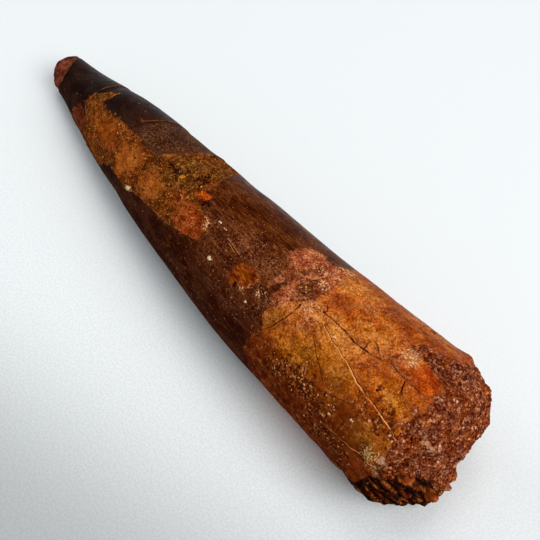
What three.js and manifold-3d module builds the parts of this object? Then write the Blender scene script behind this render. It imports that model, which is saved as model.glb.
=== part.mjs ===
import * as THREE from "three";
import { mergeVertices } from "three/addons/utils/BufferGeometryUtils.js";
import Module from "manifold-3d";

// A fossil Spinosaurus tooth lying on its side, in millimetres: one solid piece.
// The broken tip points to -X, the root end to +X, and +Z is up.
// A place on its surface is given by two numbers: the distance from the tip along the
// tooth, and the angle around it in degrees, where 0 is the top, 90 the -Y side,
// 180 the underside and 270 the +Y side. Angles past 180 may also be written below zero.

const LENGTH = 123;
const HEIGHT_TO_WIDTH = 0.96;

// Sections of the tooth: [distance from the tip, width, sideways shift of the middle].
const SECTIONS = [
  [0, 8.0, 0.4],
  [8, 10.1, 0.3],
  [18, 13.5, -0.2],
  [30, 17.0, -0.5],
  [45, 20.0, -0.9],
  [62, 22.8, -1.0],
  [80, 25.0, -0.7],
  [96, 26.5, 0.6],
  [110, 27.7, 1.7],
  [123, 27.6, 2.1],
];

// The tip is broken off bluntly, further back on the -Y side and underneath.
// The edge of the break: [angle, distance from the tip].
const TIP_RIM = [
  [0, 0.1],
  [20, 0.2],
  [60, 1.9],
  [90, 2.2],
  [180, 1.6],
  [270, 0.6],
  [340, 0.1],
  [360, 0.1],
];
const TIP_CROWN = 0.6;

// The enamel ends short of the break and leaves a bare stub, which lies lower.
const STUB = { end: 5.5, edge: 1, depth: 0.4 };

// The root end is a rough dome of sandstone. Its rim, where the wall starts to round over:
// [angle, distance from the tip, roundness from 0.4 (boxy) to 1 (round)].
const ROOT_RIM = [
  [0, 115.5, 0.75],
  [45, 116.5, 0.65],
  [90, 115, 0.6],
  [135, 116, 0.55],
  [180, 115, 0.8],
  [225, 110.5, 1.2],
  [270, 111.5, 1.1],
  [315, 113, 0.95],
  [360, 115.5, 0.75],
];
// The dome reaches furthest below the middle of the section and to its -Y side.
const ROOT_PEAK_DROP = 6;
const ROOT_PEAK_ASIDE = 2.5;

// Lumps and grains of the sandstone, on the dome and the last stretch of the wall.
const CRUST_LUMPS = { height: 0.75, size: 4.4 };
const CRUST_GRAINS = { height: 0.4, size: 2 };
const CRUST_REACH = 7;

// Ridges where the root wall has split lengthwise, low on the -Y side.
const SPLINTERS = { from: 103, full: 113, low: 78, high: 150, pitch: 17, height: 1.2 };

// Places where the enamel has flaked away and the surface lies lower:
// [start, end, first angle, last angle, depth].
const FLAKED_PATCHES = [
  [18, 48, 22, 92, 0.5],
  [44, 60, 16, 62, 0.5],
  [58, 67, 12, 46, 0.45],
  [47, 58, -52, 18, 0.35],
  [81, 88, -32, 30, 0.3],
];
const FLAKE_EDGE = 1.6;

// Breaks that run around the tooth. The surface rises to each one and drops behind it:
// [distance from the tip at the top, further per degree, first angle, last angle, drop].
const LEDGES = [
  [18.7, 0, -75, 45, 0.3],
  [34.8, -0.05, -75, 25, 0.35],
  [46.8, -0.05, -70, 8, 0.4],
  [85.5, 0, 50, 150, 0.3],
  [88, 0, -45, 20, 0.3],
];
const LEDGE_RAMP = 6;
const LEDGE_END = 15;

// Gentle swellings and hollows of the whole surface.
const SWELLS = { height: 0.22, size: 13 };

// The underside is worn flat by this much, which is the strip that the tooth rests on.
const REST_FLAT_DEPTH = 0.3;

// Spacing of the surface points.
const POINTS_AROUND = 72;
const WALL_STEP = 2.6;
const CRUST_STEP = 1.7;
const CRUST_STEP_FROM = 104;
const TIP_RINGS = 3;
const DOME_RINGS = 9;

const toRadians = THREE.MathUtils.degToRad;
const smooth = THREE.MathUtils.smoothstep;

// A column of a table read at any place, on a smooth curve through its rows.
function readTable(rows, column, at) {
  const last = rows.length - 1;
  let row = 0;
  while (row < last - 1 && at > rows[row + 1][0]) {
    row += 1;
  }
  const slope = (index) => {
    const before = rows[Math.max(index - 1, 0)];
    const after = rows[Math.min(index + 1, last)];
    return (after[column] - before[column]) / (after[0] - before[0]);
  };
  const span = rows[row + 1][0] - rows[row][0];
  const rise = rows[row + 1][column] - rows[row][column];
  const t = (at - rows[row][0]) / span;
  const bend = (1 - t) * (slope(row) * span - rise) - t * (slope(row + 1) * span - rise);
  return rows[row][column] + t * rise + t * (1 - t) * bend;
}

// A fixed random number between -1 and 1 for each corner of a cubic grid.
function cornerNumber(x, y, z) {
  const wave = Math.sin(x * 127.1 + y * 311.7 + z * 74.7) * 43758.5453;
  return 2 * (wave - Math.floor(wave)) - 1;
}

// Smooth random lumps: the numbers of the grid's corners, blended at a point.
function lumpHeight(point, { height, size }) {
  const places = point.toArray().map((value) => value / size);
  const cell = places.map(Math.floor);
  const blend = places.map((value, axis) => smooth(value - cell[axis], 0, 1));
  let sum = 0;
  for (let corner = 0; corner < 8; corner += 1) {
    const step = [corner & 1, (corner >> 1) & 1, corner >> 2];
    const weights = step.map((far, axis) => (far ? blend[axis] : 1 - blend[axis]));
    const number = cornerNumber(cell[0] + step[0], cell[1] + step[1], cell[2] + step[2]);
    sum += weights[0] * weights[1] * weights[2] * number;
  }
  return height * sum;
}

// 1 inside a stretch and 0 outside it, with soft ends of the given width.
function inStretch(value, from, to, edge) {
  const entering = smooth(value, from - edge / 2, from + edge / 2);
  const leaving = smooth(value, to - edge / 2, to + edge / 2);
  return entering * (1 - leaving);
}

// The same angle, written between -180 and 180.
function fromTop(angle) {
  return angle > 180 ? angle - 360 : angle;
}

// The plain oval wall of the tooth, before anything is broken off or added.
function wallPoint(along, angle) {
  const halfWidth = readTable(SECTIONS, 1, along) / 2;
  const shift = readTable(SECTIONS, 2, along);
  const turn = toRadians(angle);
  const height = halfWidth * HEIGHT_TO_WIDTH * (1 + Math.cos(turn));
  return new THREE.Vector3(along - LENGTH / 2, shift - halfWidth * Math.sin(turn), height);
}

function flakeDepth(along, angle) {
  const halfWidth = readTable(SECTIONS, 1, along) / 2;
  const edgeAngle = THREE.MathUtils.radToDeg(FLAKE_EDGE / halfWidth);
  const depths = FLAKED_PATCHES.map(([start, end, first, last, depth]) => {
    const along01 = inStretch(along, start, end, FLAKE_EDGE);
    return depth * along01 * inStretch(fromTop(angle), first, last, edgeAngle);
  });
  return Math.max(...depths);
}

function ledgeHeight(along, angle) {
  const side = fromTop(angle);
  return LEDGES.reduce((sum, [place, slope, first, last, drop]) => {
    const before = (place + slope * side - along) / LEDGE_RAMP;
    const ramp = before >= 0 && before < 1 ? 1 - before : 0;
    return sum + drop * ramp * inStretch(side, first, last, LEDGE_END);
  }, 0);
}

// Each splinter rises slowly around the tooth and drops at once, as split bone does.
function splinterHeight(along, angle) {
  const { from, full, low, high, pitch, height } = SPLINTERS;
  const share = smooth(along, from, full) * inStretch(angle, low, high, pitch);
  const phase = (angle + (along - from) / 3) / pitch;
  return height * share * (phase - Math.floor(phase) - 1);
}

function crustHeight(point) {
  return lumpHeight(point, CRUST_LUMPS) + lumpHeight(point, CRUST_GRAINS);
}

// The wall with its swellings, stub, flaked patches, ledges, splinters and crust.
function surfacePoint(along, angle) {
  const point = wallPoint(along, angle);
  const rim = readTable(ROOT_RIM, 1, angle);
  const crustShare = smooth(along, rim - CRUST_REACH, rim);
  const stubShare = 1 - smooth(along, STUB.end - STUB.edge, STUB.end);
  const height = lumpHeight(point, SWELLS)
    - stubShare * STUB.depth
    - flakeDepth(along, angle)
    + ledgeHeight(along, angle)
    + splinterHeight(along, angle)
    + crustShare * crustHeight(point);
  const turn = toRadians(angle);
  const outward = new THREE.Vector3(0, -Math.sin(turn), Math.cos(turn));
  return point.addScaledVector(outward, height);
}

function ringOf(pointAt) {
  return Array.from({ length: POINTS_AROUND }, (_, index) => pointAt(360 * index / POINTS_AROUND));
}

function middleOf(ring) {
  const sum = ring.reduce((total, point) => total.add(point), new THREE.Vector3());
  return sum.divideScalar(ring.length);
}

// Rings of the wall, from the edge of the break to the rim, closer together in the crust.
function wallRings() {
  const shares = [];
  for (let along = 0; along < LENGTH; along += along < CRUST_STEP_FROM ? WALL_STEP : CRUST_STEP) {
    shares.push(along);
  }
  const reach = shares[shares.length - 1];
  return shares.map((share) => ringOf((angle) => {
    const start = readTable(TIP_RIM, 1, angle);
    const end = readTable(ROOT_RIM, 1, angle);
    return surfacePoint(start + (end - start) * share / reach, angle);
  }));
}

// Rings of the break at the tip, from its middle outwards, on a slightly crowned face.
function breakRings(edge) {
  const middle = middleOf(edge);
  const crownAt = (share) => TIP_CROWN * (1 - share * share);
  const rings = [];
  for (let ring = 1; ring < TIP_RINGS; ring += 1) {
    const share = ring / TIP_RINGS;
    const offset = new THREE.Vector3(-crownAt(share), 0, 0);
    rings.push(edge.map((point) => middle.clone().lerp(point, share).add(offset)));
  }
  const tip = middle.clone().setX(middle.x - crownAt(0));
  return { tip, rings };
}

// Rings of the dome, from the rim inwards.
function domeRings() {
  const peak = middleOf(ringOf((angle) => wallPoint(LENGTH, angle)));
  peak.z -= ROOT_PEAK_DROP;
  peak.y -= ROOT_PEAK_ASIDE;
  const domePoint = (turn, angle) => {
    const edge = wallPoint(readTable(ROOT_RIM, 1, angle), angle);
    const share = Math.cos(turn) ** readTable(ROOT_RIM, 2, angle);
    const point = peak.clone().lerp(edge, share);
    point.x = edge.x + (peak.x - edge.x) * Math.sin(turn);
    const outward = edge.clone().sub(peak).setX(0).normalize();
    outward.multiplyScalar(Math.cos(turn)).setX(Math.sin(turn));
    return point.addScaledVector(outward, crustHeight(point));
  };
  const rings = [];
  for (let ring = 1; ring <= DOME_RINGS; ring += 1) {
    const turn = (Math.PI / 2) * ring / (DOME_RINGS + 1);
    rings.push(ringOf((angle) => domePoint(turn, angle)));
  }
  return { end: peak, rings };
}

// One closed skin over all the rings, with a fan of triangles at each end.
function toothSkin() {
  const wall = wallRings();
  const broken = breakRings(wall[0]);
  const dome = domeRings();
  const rings = [...broken.rings, ...wall, ...dome.rings];
  const points = [broken.tip, ...rings.flat(), dome.end];
  const lastPoint = points.length - 1;
  const indexOf = (ring, around) => 1 + ring * POINTS_AROUND + (around % POINTS_AROUND);
  const triangles = [];
  for (let around = 0; around < POINTS_AROUND; around += 1) {
    triangles.push(0, indexOf(0, around + 1), indexOf(0, around));
    for (let ring = 0; ring < rings.length - 1; ring += 1) {
      const [near, nearNext] = [indexOf(ring, around), indexOf(ring, around + 1)];
      const [far, farNext] = [indexOf(ring + 1, around), indexOf(ring + 1, around + 1)];
      triangles.push(near, nearNext, far, nearNext, farNext, far);
    }
    const end = rings.length - 1;
    triangles.push(lastPoint, indexOf(end, around), indexOf(end, around + 1));
  }
  const geometry = new THREE.BufferGeometry().setFromPoints(points);
  geometry.setIndex(triangles);
  return geometry;
}

// Everything below the worn strip, as a block to cut away.
function blockBelowRest() {
  const deep = LENGTH / 4;
  const block = new THREE.BoxGeometry(2 * LENGTH, LENGTH, deep);
  block.translate(0, 0, REST_FLAT_DEPTH - deep / 2);
  return block;
}

const wasm = await Module();
wasm.setup();

function toSolid(geometry) {
  const bare = geometry.clone();
  bare.deleteAttribute("normal");
  bare.deleteAttribute("uv");
  const merged = mergeVertices(bare);
  return new wasm.Manifold(new wasm.Mesh({
    numProp: 3,
    vertProperties: new Float32Array(merged.attributes.position.array),
    triVerts: new Uint32Array(merged.index.array),
  }));
}

function toGeometry(solid) {
  const mesh = solid.getMesh();
  const geometry = new THREE.BufferGeometry();
  geometry.setAttribute("position", new THREE.BufferAttribute(mesh.vertProperties, 3));
  geometry.setIndex(new THREE.BufferAttribute(mesh.triVerts, 1));
  geometry.computeVertexNormals();
  return geometry;
}

function makeTooth() {
  const solid = toSolid(toothSkin()).subtract(toSolid(blockBelowRest()));
  const material = new THREE.MeshStandardMaterial({ color: 0x7a3d16, roughness: 0.45, metalness: 0 });
  const tooth = new THREE.Mesh(toGeometry(solid), material);
  tooth.name = "tooth";
  const middle = new THREE.Box3().setFromObject(tooth).getCenter(new THREE.Vector3());
  tooth.position.set(-middle.x, -middle.y, -REST_FLAT_DEPTH);
  return tooth;
}

const fossil = new THREE.Group();
fossil.add(makeTooth());

export default fossil;
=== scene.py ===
import math

import bmesh
import bpy
import numpy as np
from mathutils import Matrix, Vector


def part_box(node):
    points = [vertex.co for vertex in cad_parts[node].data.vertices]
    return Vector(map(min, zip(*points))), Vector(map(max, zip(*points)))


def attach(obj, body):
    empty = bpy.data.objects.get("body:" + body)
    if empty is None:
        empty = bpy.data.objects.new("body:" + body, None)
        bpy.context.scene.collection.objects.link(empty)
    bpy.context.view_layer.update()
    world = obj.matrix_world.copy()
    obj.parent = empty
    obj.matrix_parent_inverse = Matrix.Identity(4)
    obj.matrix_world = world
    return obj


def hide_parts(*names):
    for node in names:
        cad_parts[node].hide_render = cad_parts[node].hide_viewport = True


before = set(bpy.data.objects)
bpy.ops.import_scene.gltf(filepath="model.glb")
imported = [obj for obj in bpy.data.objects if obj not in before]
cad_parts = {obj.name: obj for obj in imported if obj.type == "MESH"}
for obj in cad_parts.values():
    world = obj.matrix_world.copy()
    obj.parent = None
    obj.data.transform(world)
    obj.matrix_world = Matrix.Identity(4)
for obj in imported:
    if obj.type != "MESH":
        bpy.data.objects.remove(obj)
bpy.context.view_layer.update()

# A fossil Spinosaurus tooth lying on its side. The CAD node "tooth" gives its place and
# size; this script builds the fine surface that stands for it, and its loose grains.
#
# The surface is worked out in millimetres, in the tooth's own two numbers: the distance
# from the tip along the tooth, and the angle around it in degrees, where 0 is the top,
# 90 the -Y side and -90 the +Y side.

MM = 0.001

# ---------------------------------------------------------------- driving dimensions

tooth_low, tooth_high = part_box("tooth")
LENGTH = round((tooth_high[0] - tooth_low[0]) / MM)
HEIGHT_TO_WIDTH = 0.96

# [distance from the tip, width, sideways shift of the middle]
SECTIONS = np.array([
    [0, 8, 0.4], [8, 10.1, 0.3], [18, 13.5, -0.2], [30, 17, -0.5], [45, 20, -0.9], [62, 22.8, -1],
    [80, 25, -0.7], [96, 26.5, 0.6], [110, 27.7, 1.7], [123, 27.6, 2.1],
])

# The edge of the broken tip: [angle, distance from the tip]
TIP_RIM = np.array([
    [-180, 1.6], [-90, 0.6], [-20, 0.1], [0, 0.1], [20, 0.2], [60, 1.9], [90, 2.2], [180, 1.6],
])
# How far the middle of the broken tip stands out.
TIP_CROWN = 0.6

# Where the wall rounds over into the sandstone at the root end:
# [angle, distance from the tip, roundness: small is boxy, 1 is round]
ROOT_RIM = np.array([
    [-180, 115, 0.8], [-135, 110.5, 1.2], [-90, 111.5, 1.1], [-45, 113, 0.95], [0, 115.5, 0.75],
    [45, 116.5, 0.65], [90, 115, 0.6], [135, 116, 0.55], [180, 115, 0.8],
])
# The dome's peak lies lower than the middle of the wall's last section, and nearer to -Y.
ROOT_PEAK_DROP = 6
ROOT_PEAK_ASIDE = 2.5
# How deep the flat strip is cut into the underside.
REST_FLAT_DEPTH = 0.3

# The fine mesh: squares around the tooth before any are split, how often one may be split
# in four, and the stages (see form) that its rings run between. The rings are spaced by
# samples of the form, at turns of so many degrees.
COLUMNS = 56
LEVELS = 4
FINEST = 2 ** LEVELS
FIRST_STAGE = 0.12
LAST_STAGE = 2.975
STAGE_SAMPLES = 4000
SAMPLE_TURN = 30

# ---------------------------------------------------------------- marks on the surface
# All of these were chosen from the photograph. Distances are from the tip, in
# millimetres, and angles are in degrees.

# The bare stub at the tip, where the enamel has broken away: [angle, end of the stub]
STUB_END = np.array([
    [-180, 3.6], [-90, 1.6], [-34, 1.7], [-15, 3.1], [3, 4.2], [17, 4.8], [33, 5.5], [53, 5.9],
    [77, 5.3], [110, 4.6], [180, 3.6],
])

# The edge of the amber enamel, which covers the rest of the tooth: [angle, distance]
AMBER_EDGE = np.array([
    [-180, 89], [-140, 86.5], [-110, 90], [-75, 87], [-50, 87.2], [-38, 88.4], [-20, 89], [-10, 90.3],
    [0, 90.6], [10, 90.6], [17, 89.5], [21, 88.2], [30, 86.8], [38, 86.2], [43, 86.5], [46, 88],
    [52, 88.2], [60, 87], [70, 86.2], [80, 86], [86, 87.6], [110, 88.5], [150, 86.5], [180, 89],
])

# Where the crust of sandstone starts on the wall: [angle, distance]
CRUST_EDGE = np.array([
    [-180, 110], [-135, 107.5], [-90, 109], [-60, 113.5], [-42, 114], [-33, 112], [-27, 109.8],
    [-20, 107.6], [-15, 107], [-12.5, 109], [-11, 113], [-9.5, 115], [-5, 116], [4, 116.3], [10, 116.8],
    [22, 116.2], [34, 117], [52, 118], [70, 117.5], [90, 118.5], [125, 117], [150, 112], [180, 110],
])

# Outlines of patches: corners at (distance, angle).
PATCHES = {
    # Where the enamel has flaked off and sandy rock fills the hollow.
    "sandy": [
        [(18.6, 34), (19, 12), (20.5, -6), (22.5, -12), (22.8, 2), (21.8, 16), (26, 19), (30, 15),
         (35, 14), (41, 16), (45, 12), (46.6, 2), (48, -10), (49, -40), (51, -62), (55, -60), (57, -40),
         (58.5, -18), (59.5, -4), (58.2, 4), (60, 14), (62.5, 19), (65.3, 23), (66.2, 30), (66.2, 40),
         (62.5, 45), (59.5, 50), (56, 54), (51.5, 55), (48, 58), (45.5, 63), (42.5, 67), (36, 67),
         (34, 74), (32, 90), (27, 100), (23, 96), (21.6, 70), (21.5, 48), (20, 42)],
    ],
    # Smooth ochre dentine inside the sandy patch.
    "ochre": [
        [(27, 26), (31, 22), (33.5, 30), (33.5, 46), (31, 60), (28, 58), (25.5, 44)],
        [(37, 30), (40, 26), (43, 30), (42.4, 44), (41, 60), (38, 60), (36.6, 46)],
        [(46, 34), (49, 26), (52.5, 32), (52, 46), (49, 52), (46.4, 48)],
    ],
    # Bare dentine, smoother and redder than the sand.
    "red": [
        [(17, 46), (19.4, 48), (21.2, 54), (21.4, 68), (22.8, 84), (24, 98), (22, 112), (17, 112),
         (14, 102), (14.8, 84), (15.8, 62)],
        [(58.6, 26), (60, 20), (63, 20), (65.3, 25), (66, 38), (63.5, 44), (60, 47), (57.8, 44)],
    ],
    # Pinkish matrix on the border between the dark and the amber enamel.
    "pink": [
        [(80.3, -8), (80.4, -18), (81.2, -29), (83.8, -31), (86.4, -22), (86.8, -14), (85.6, -3),
         (85.4, 11), (85.3, 26), (87, 31), (88.4, 22), (89.2, 12), (88.6, 16), (86.9, 13), (87, 0),
         (88.4, -8), (87.6, -14), (88.6, -24), (86.5, -18), (84.6, -4), (84.2, 10), (83.6, 22),
         (83.2, 14), (83.4, 0), (81.6, -3)],
        [(85.8, -28), (88, -40), (90.5, -38), (90.2, -24), (91, -12), (89.4, 0), (87.4, -8)],
    ],
    # Orange-red dentine, beside the crust and in a chip.
    "orange": [
        [(109.4, -4), (109.8, -8), (111.6, -10.5), (113.4, -10.5), (114.9, -9), (115.7, -5), (116, 2),
         (115.2, 5), (113.6, 6), (112, 4), (110.6, 5), (109.2, 3)],
        [(57.8, 12), (58.7, 5), (60, 3), (61.2, 4.6), (61.2, 9), (60.2, 10), (59.8, 13), (58.4, 14)],
    ],
    # Bare amber-brown dentine in a chip of the dark enamel.
    "brown": [
        [(75.6, 29), (75.8, 25), (77.8, 23.5), (79.6, 20), (81.4, 22.5), (81.5, 30), (80.6, 38),
         (78.2, 39), (77.4, 43), (75.8, 39.5), (76.2, 34)],
    ],
    # Rough brown places on the enamel between the flaked hollows.
    "rough": [
        [(35, 15), (36.4, -10), (37, -40), (38, -66), (47, -66), (48, -30), (47.4, -8), (45.6, 6),
         (42, 16)],
        [(19.2, 30), (19.4, 8), (21, 4), (22, 16), (21.2, 30)],
    ],
}

# Soft places in a layer: (distance, angle, half length, half width, strength).
SOFT_SPOTS = {
    # Pale crumbs of matrix.
    "chalk": [
        (108.4, -9, 1.5, 1.3, 1), (109.6, -4.5, 0.9, 1, 0.9), (107, -6, 0.8, 0.9, 0.5),
        (88.5, -34, 2, 0.9, 0.8), (87, -16, 1.4, 0.7, 0.5), (89, -6, 1.6, 0.8, 0.6),
        (83.3, 32, 0.7, 0.6, 0.8), (84.2, 29, 0.5, 0.35, 0.7), (79.9, 39, 0.8, 0.5, 0.7),
        (80.9, 33, 0.3, 0.9, 0.5), (81.4, 26, 0.5, 0.5, 0.4), (115.4, 60, 1.5, 1.3, 1),
        (117.6, 56, 1.2, 1, 0.8), (117.5, 63, 0.9, 0.6, 0.8), (65.1, 25, 0.8, 1, 0.85),
        (64.3, 21.5, 0.7, 0.5, 0.6), (44, 65, 1.4, 0.6, 0.6), (120.6, 38, 1.2, 0.8, 0.5),
        (120.4, 22, 1.1, 1, 0.8), (121.2, 14, 0.8, 0.7, 0.6), (91.5, 14, 1.6, 1.3, 0.5),
    ],
    # Dark grime on the amber.
    "grime": [
        (98.5, 60, 6, 2.6, 1), (95, 64, 3, 2, 0.6), (103.5, 62, 4, 2.2, 0.8), (107.5, 78, 4.5, 2, 0.9),
        (111, 40, 3.5, 1.6, 0.5), (87.5, 4, 1.6, 1.3, 0.9), (112.6, 29, 2.6, 1.5, 0.6),
        (109.8, 22, 0.6, 0.5, 1), (87, 55, 1.5, 1.2, 0.6), (115.6, 36, 2, 2.6, 0.8),
        (113.4, 40, 2.4, 1.6, 0.7), (105.5, -46, 1.6, 0.5, 0.9), (92, 74, 2, 1, 0.5),
    ],
    # Pale dust on the enamel.
    "dust": [
        (74, 12, 6, 3, 0.8), (70, 34, 5, 3, 0.6), (80, 10, 4, 3.4, 1), (84.5, 36, 3, 2.6, 0.7),
        (67.5, 18, 3, 1.4, 0.7), (88.5, 8, 2.4, 4.5, 0.9), (92.5, 18, 3.5, 2.6, 0.9),
        (107, -2, 4, 2.4, 0.6), (78, 52, 6, 2, 0.4), (103, 14, 4, 3, 0.4), (97, -20, 5, 3, 0.4),
    ],
    # Olive-brown places in the sandy hollow and on the amber.
    "olive": [
        (51.5, 0, 3.6, 6, 1), (56, -20, 3, 5, 0.8), (20.5, 22, 1.2, 3.4, 0.9), (114.5, 56, 3.6, 3.8, 1),
        (104, 36, 4, 2.4, 0.5), (97, 40, 5, 4, 0.6), (88.2, 36, 1.8, 2.6, 0.7), (113, 22, 2, 1.8, 0.4),
        (106, 54, 3, 1.6, 0.5),
    ],
    # Darker places, also in the hollow and on the amber; those on the amber, low on the -Y side, are
    # painted shade.
    "dusk": [
        (35, 30, 1.4, 5, 0.7), (44, 40, 1.2, 5.5, 0.7), (55, 26, 2.2, 4.5, 0.5),
        (48.6, 14, 1.6, 0.9, 1), (33, 66, 2.5, 2.5, 0.6), (45, 20, 2, 2, 0.8), (57.4, 12, 1.6, 2, 0.8),
        (60.6, 11, 0.8, 0.8, 1), (24.5, 60, 2.4, 1.4, 0.7), (39, 22, 3, 1.2, 0.5),
        (108.5, 52, 5, 3.2, 1), (104, 43, 3.6, 1.9, 0.8), (89.5, 62, 3, 2.4, 0.7),
        (97, 72, 6, 2.5, 0.6), (114.5, 70, 3, 2.4, 0.8),
    ],
}

# Small sharp spots, in the same numbers.
SHARP_SPOTS = {
    "pit": [
        (55.3, -1, 0.5, 1.2, 0.9), (57, -5, 0.6, 1.5, 0.95), (57.2, 2.5, 0.5, 0.8, 0.8),
        (48.8, 9, 1.1, 0.8, 1), (50.4, 8.5, 0.7, 0.6, 1), (50.8, 11.5, 0.7, 0.5, 1),
        (61.2, 12.5, 0.6, 1, 1), (62.2, 10.5, 0.6, 0.6, 1), (78.3, 40.5, 0.35, 0.8, 1),
        (54.8, 3, 1.1, 0.35, 0.9), (56, -7, 0.6, 1.5, 0.95), (51.2, 4, 0.7, 0.3, 0.7),
        (109.7, 25, 0.4, 0.3, 0.62), (109.4, 6.5, 0.4, 0.3, 0.6), (44.6, 33, 0.5, 0.3, 0.8),
        (52, 27, 0.3, 0.3, 0.8), (97.5, 51, 0.4, 0.3, 0.7), (105, -46, 1.4, 0.35, 0.9),
        (91.8, 30, 0.6, 0.5, 0.5), (41, 33, 0.4, 0.3, 0.7), (55.4, 42, 0.5, 0.3, 0.8),
    ],
    "white": [
        (70.8, 42, 0.5, 0.4, 1), (98.2, 18, 0.3, 0.3, 1), (66.9, 14, 0.35, 0.18, 0.9),
        (68.6, 15, 0.5, 0.16, 0.9), (44.2, 64, 0.8, 0.5, 1), (32.7, 29, 0.3, 0.25, 0.7),
        (110, 51, 0.4, 0.35, 0.8), (82.2, 44, 0.3, 0.25, 0.7),
    ],
    "yellow": [
        (52.8, 9, 0.55, 0.5, 1), (59, 7, 0.5, 0.3, 0.6), (22.6, -8, 0.2, 1.6, 0.7),
        (66, 27, 0.35, 0.4, 0.7),
    ],
}

# Cracks: (half width, how pale the edge on the left is, points along the crack). A pale
# edge of 2 makes a scratch that is pale on both sides.
CRACKS = [
    (0.11, 0.2, [(89.9, 17), (90.1, 25), (89.8, 33), (89.2, 42), (88.4, 49), (87.2, 55)]),
    (0.12, 0.2, [(93.6, 9.4), (96, 9.6), (98.6, 10), (100.6, 11.2), (103, 11), (106.2, 8.4)]),
    (0.09, 0.1, [(103, 11), (102.9, 8), (102.5, 5)]),
    (0.08, 0.5, [(103.2, 1), (104.6, 4), (106.2, 8.2)]),
    (0.08, 0.2, [(92.4, 7.6), (93.5, 9.2), (93.9, 8), (93.1, 5.4)]),
    (0.07, 0.9, [(117.2, 37.2), (115.8, 36.2), (113.8, 34.8), (111.2, 33), (109, 31.8), (106.5, 29.8),
                 (104.2, 26), (100.9, 22.9), (98, 20.4), (95.4, 16.8)]),
    (0.05, 0.3, [(91, 22), (93.4, 18.4), (95.6, 17)]),
    (0.05, 0.1, [(95.5, 27), (97.5, 33), (99.5, 38), (102, 45)]),
    (0.1, 0.1, [(111.4, 8.6), (112.1, 12.6), (112.9, 17.6)]),
    (0.05, 0.7, [(112.9, 17.6), (114, 18.4), (115.2, 19)]),
    (0.06, 0.2, [(107.6, 5.4), (109.8, 7), (112, 7), (113.9, 6.2), (115.8, 6)]),
    (0.05, 0.1, [(100, 55), (104, 50), (108, 44)]),
    (0.1, 0.9, [(106, 72), (108.6, 70.4), (110.3, 69), (112.8, 68), (115.8, 66), (117.4, 63)]),
    (0.09, 0, [(96, 88), (100, 84), (104, 83), (108, 86), (112, 88)]),
    (0.09, 0, [(55.9, 58), (55.6, 66), (54.6, 77), (53.6, 90)]),
    (0.07, 0, [(41.6, 70), (42, 78), (41.4, 92)]),
    (0.05, 0.1, [(77.2, 43), (76.6, 52), (76.2, 63), (75.2, 76)]),
    (0.03, 2, [(70.6, 18.6), (72.4, 19.2), (74.2, 20.4), (75.3, 21.6)]),
    (0.03, 2, [(71.6, 21), (73, 22), (74.6, 23.6)]),
    (0.03, 2, [(82.7, 50), (83.8, 45)]),
    (0.04, 0.3, [(68, -32), (72, -26), (75, -14), (77.5, -2)]),
    (0.06, 0.1, [(88, -150), (94, -146), (101, -152), (108, -148)]),
    (0.08, 0.2, [(90, -95), (95, -99), (101, -96), (106, -104), (110, -102)]),
    (0.07, 0.1, [(101, -96), (102, -84), (105, -78)]),
    (0.06, 0, [(40, -110), (43, -118), (44, -132), (47, -140)]),
    (0.07, 0.1, [(92, 120), (97, 124), (103, 121), (109, 127), (114, 125)]),
    (0.06, 0.1, [(62, 130), (66, 138), (67, 150), (70, 160)]),
]

# Breaks around the tooth, each a low ledge with a pale edge:
# [distance at the top, further per degree, first angle, last angle, drop].
LEDGES = [
    [18.6, 0, -75, 34, 0.16], [34.6, -0.05, -80, 18, 0.16], [47.9, -0.03, -75, 12, 0.22],
    [28, 0.02, 150, 235, 0.12], [61, 0.03, 175, 250, 0.15],
]
# The drop fades out past the ledge, in millimetres, and towards its ends, in degrees.
LEDGE_RAMP = 6
LEDGE_FADE = 12

# Ridges where the root wall has split lengthwise, low on the -Y side:
# [distance, first angle, last angle] of the split stretch.
SPLINTER_LIMITS = np.array([
    [104, 106, 128], [111.7, 102, 146], [115.2, 94, 149], [116.6, 79, 151], [117.8, 68, 153],
    [119.2, 63, 158], [120.3, 54, 165], [121.6, 46, 180], [123, 34, 180],
])
# The splinters start and are full at these distances, and fade at their two sides.
SPLINTER_FROM = 103
SPLINTER_FULL = 113
SPLINTER_FADE_ABOVE = 5
SPLINTER_FADE_BELOW = 8
# Degrees between the ridges, how far they wander and over what size, and their heights.
SPLINTER_PITCH = 17
SPLINTER_WANDER = (5, 2.5)
SPLINTER_STRETCH = (0.12, 1, 1)
SPLINTER_MM_PER_DEGREE = 3
SPLINTER_HEIGHT = 1.2
SPLINTER_RISE = 0.45
# The roughness on the ridges: (height, size, seed).
SPLINTER_ROUGH = [(0.45, 1.1, 52), (0.3, 0.5, 53)]
# The split layers all face one way: this turns a place into numbers that change slowly
# along the layers and fast across them.
ACROSS_LAYERS = np.array([0.05, 0.89, 0.45])
LAYER_SQUASH = 0.2
SPLINTER_GRAIN = LAYER_SQUASH * np.eye(3) + (1 - LAYER_SQUASH) * np.outer(ACROSS_LAYERS, ACROSS_LAYERS)

# Long splinters that stand proud at the root end: (start, end, half width, height), from the
# middle of the tooth's underside, each with a groove around it.
SHARDS = [
    ((59.2, -7.2, 19.4), (61, -1.2, 6.6), 1.15, 0.9),
    ((57, -10.4, 20), (60.4, -4.9, 8.6), 0.4, 0.4),
    ((60.9, -2.6, 15), (61.6, 1.6, 7), 0.8, 0.6),
]
SHARD_GROOVE_WIDTH = 0.3
SHARD_GROOVE_DEPTH = 0.5
SHARD_BEND = 0.6

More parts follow.
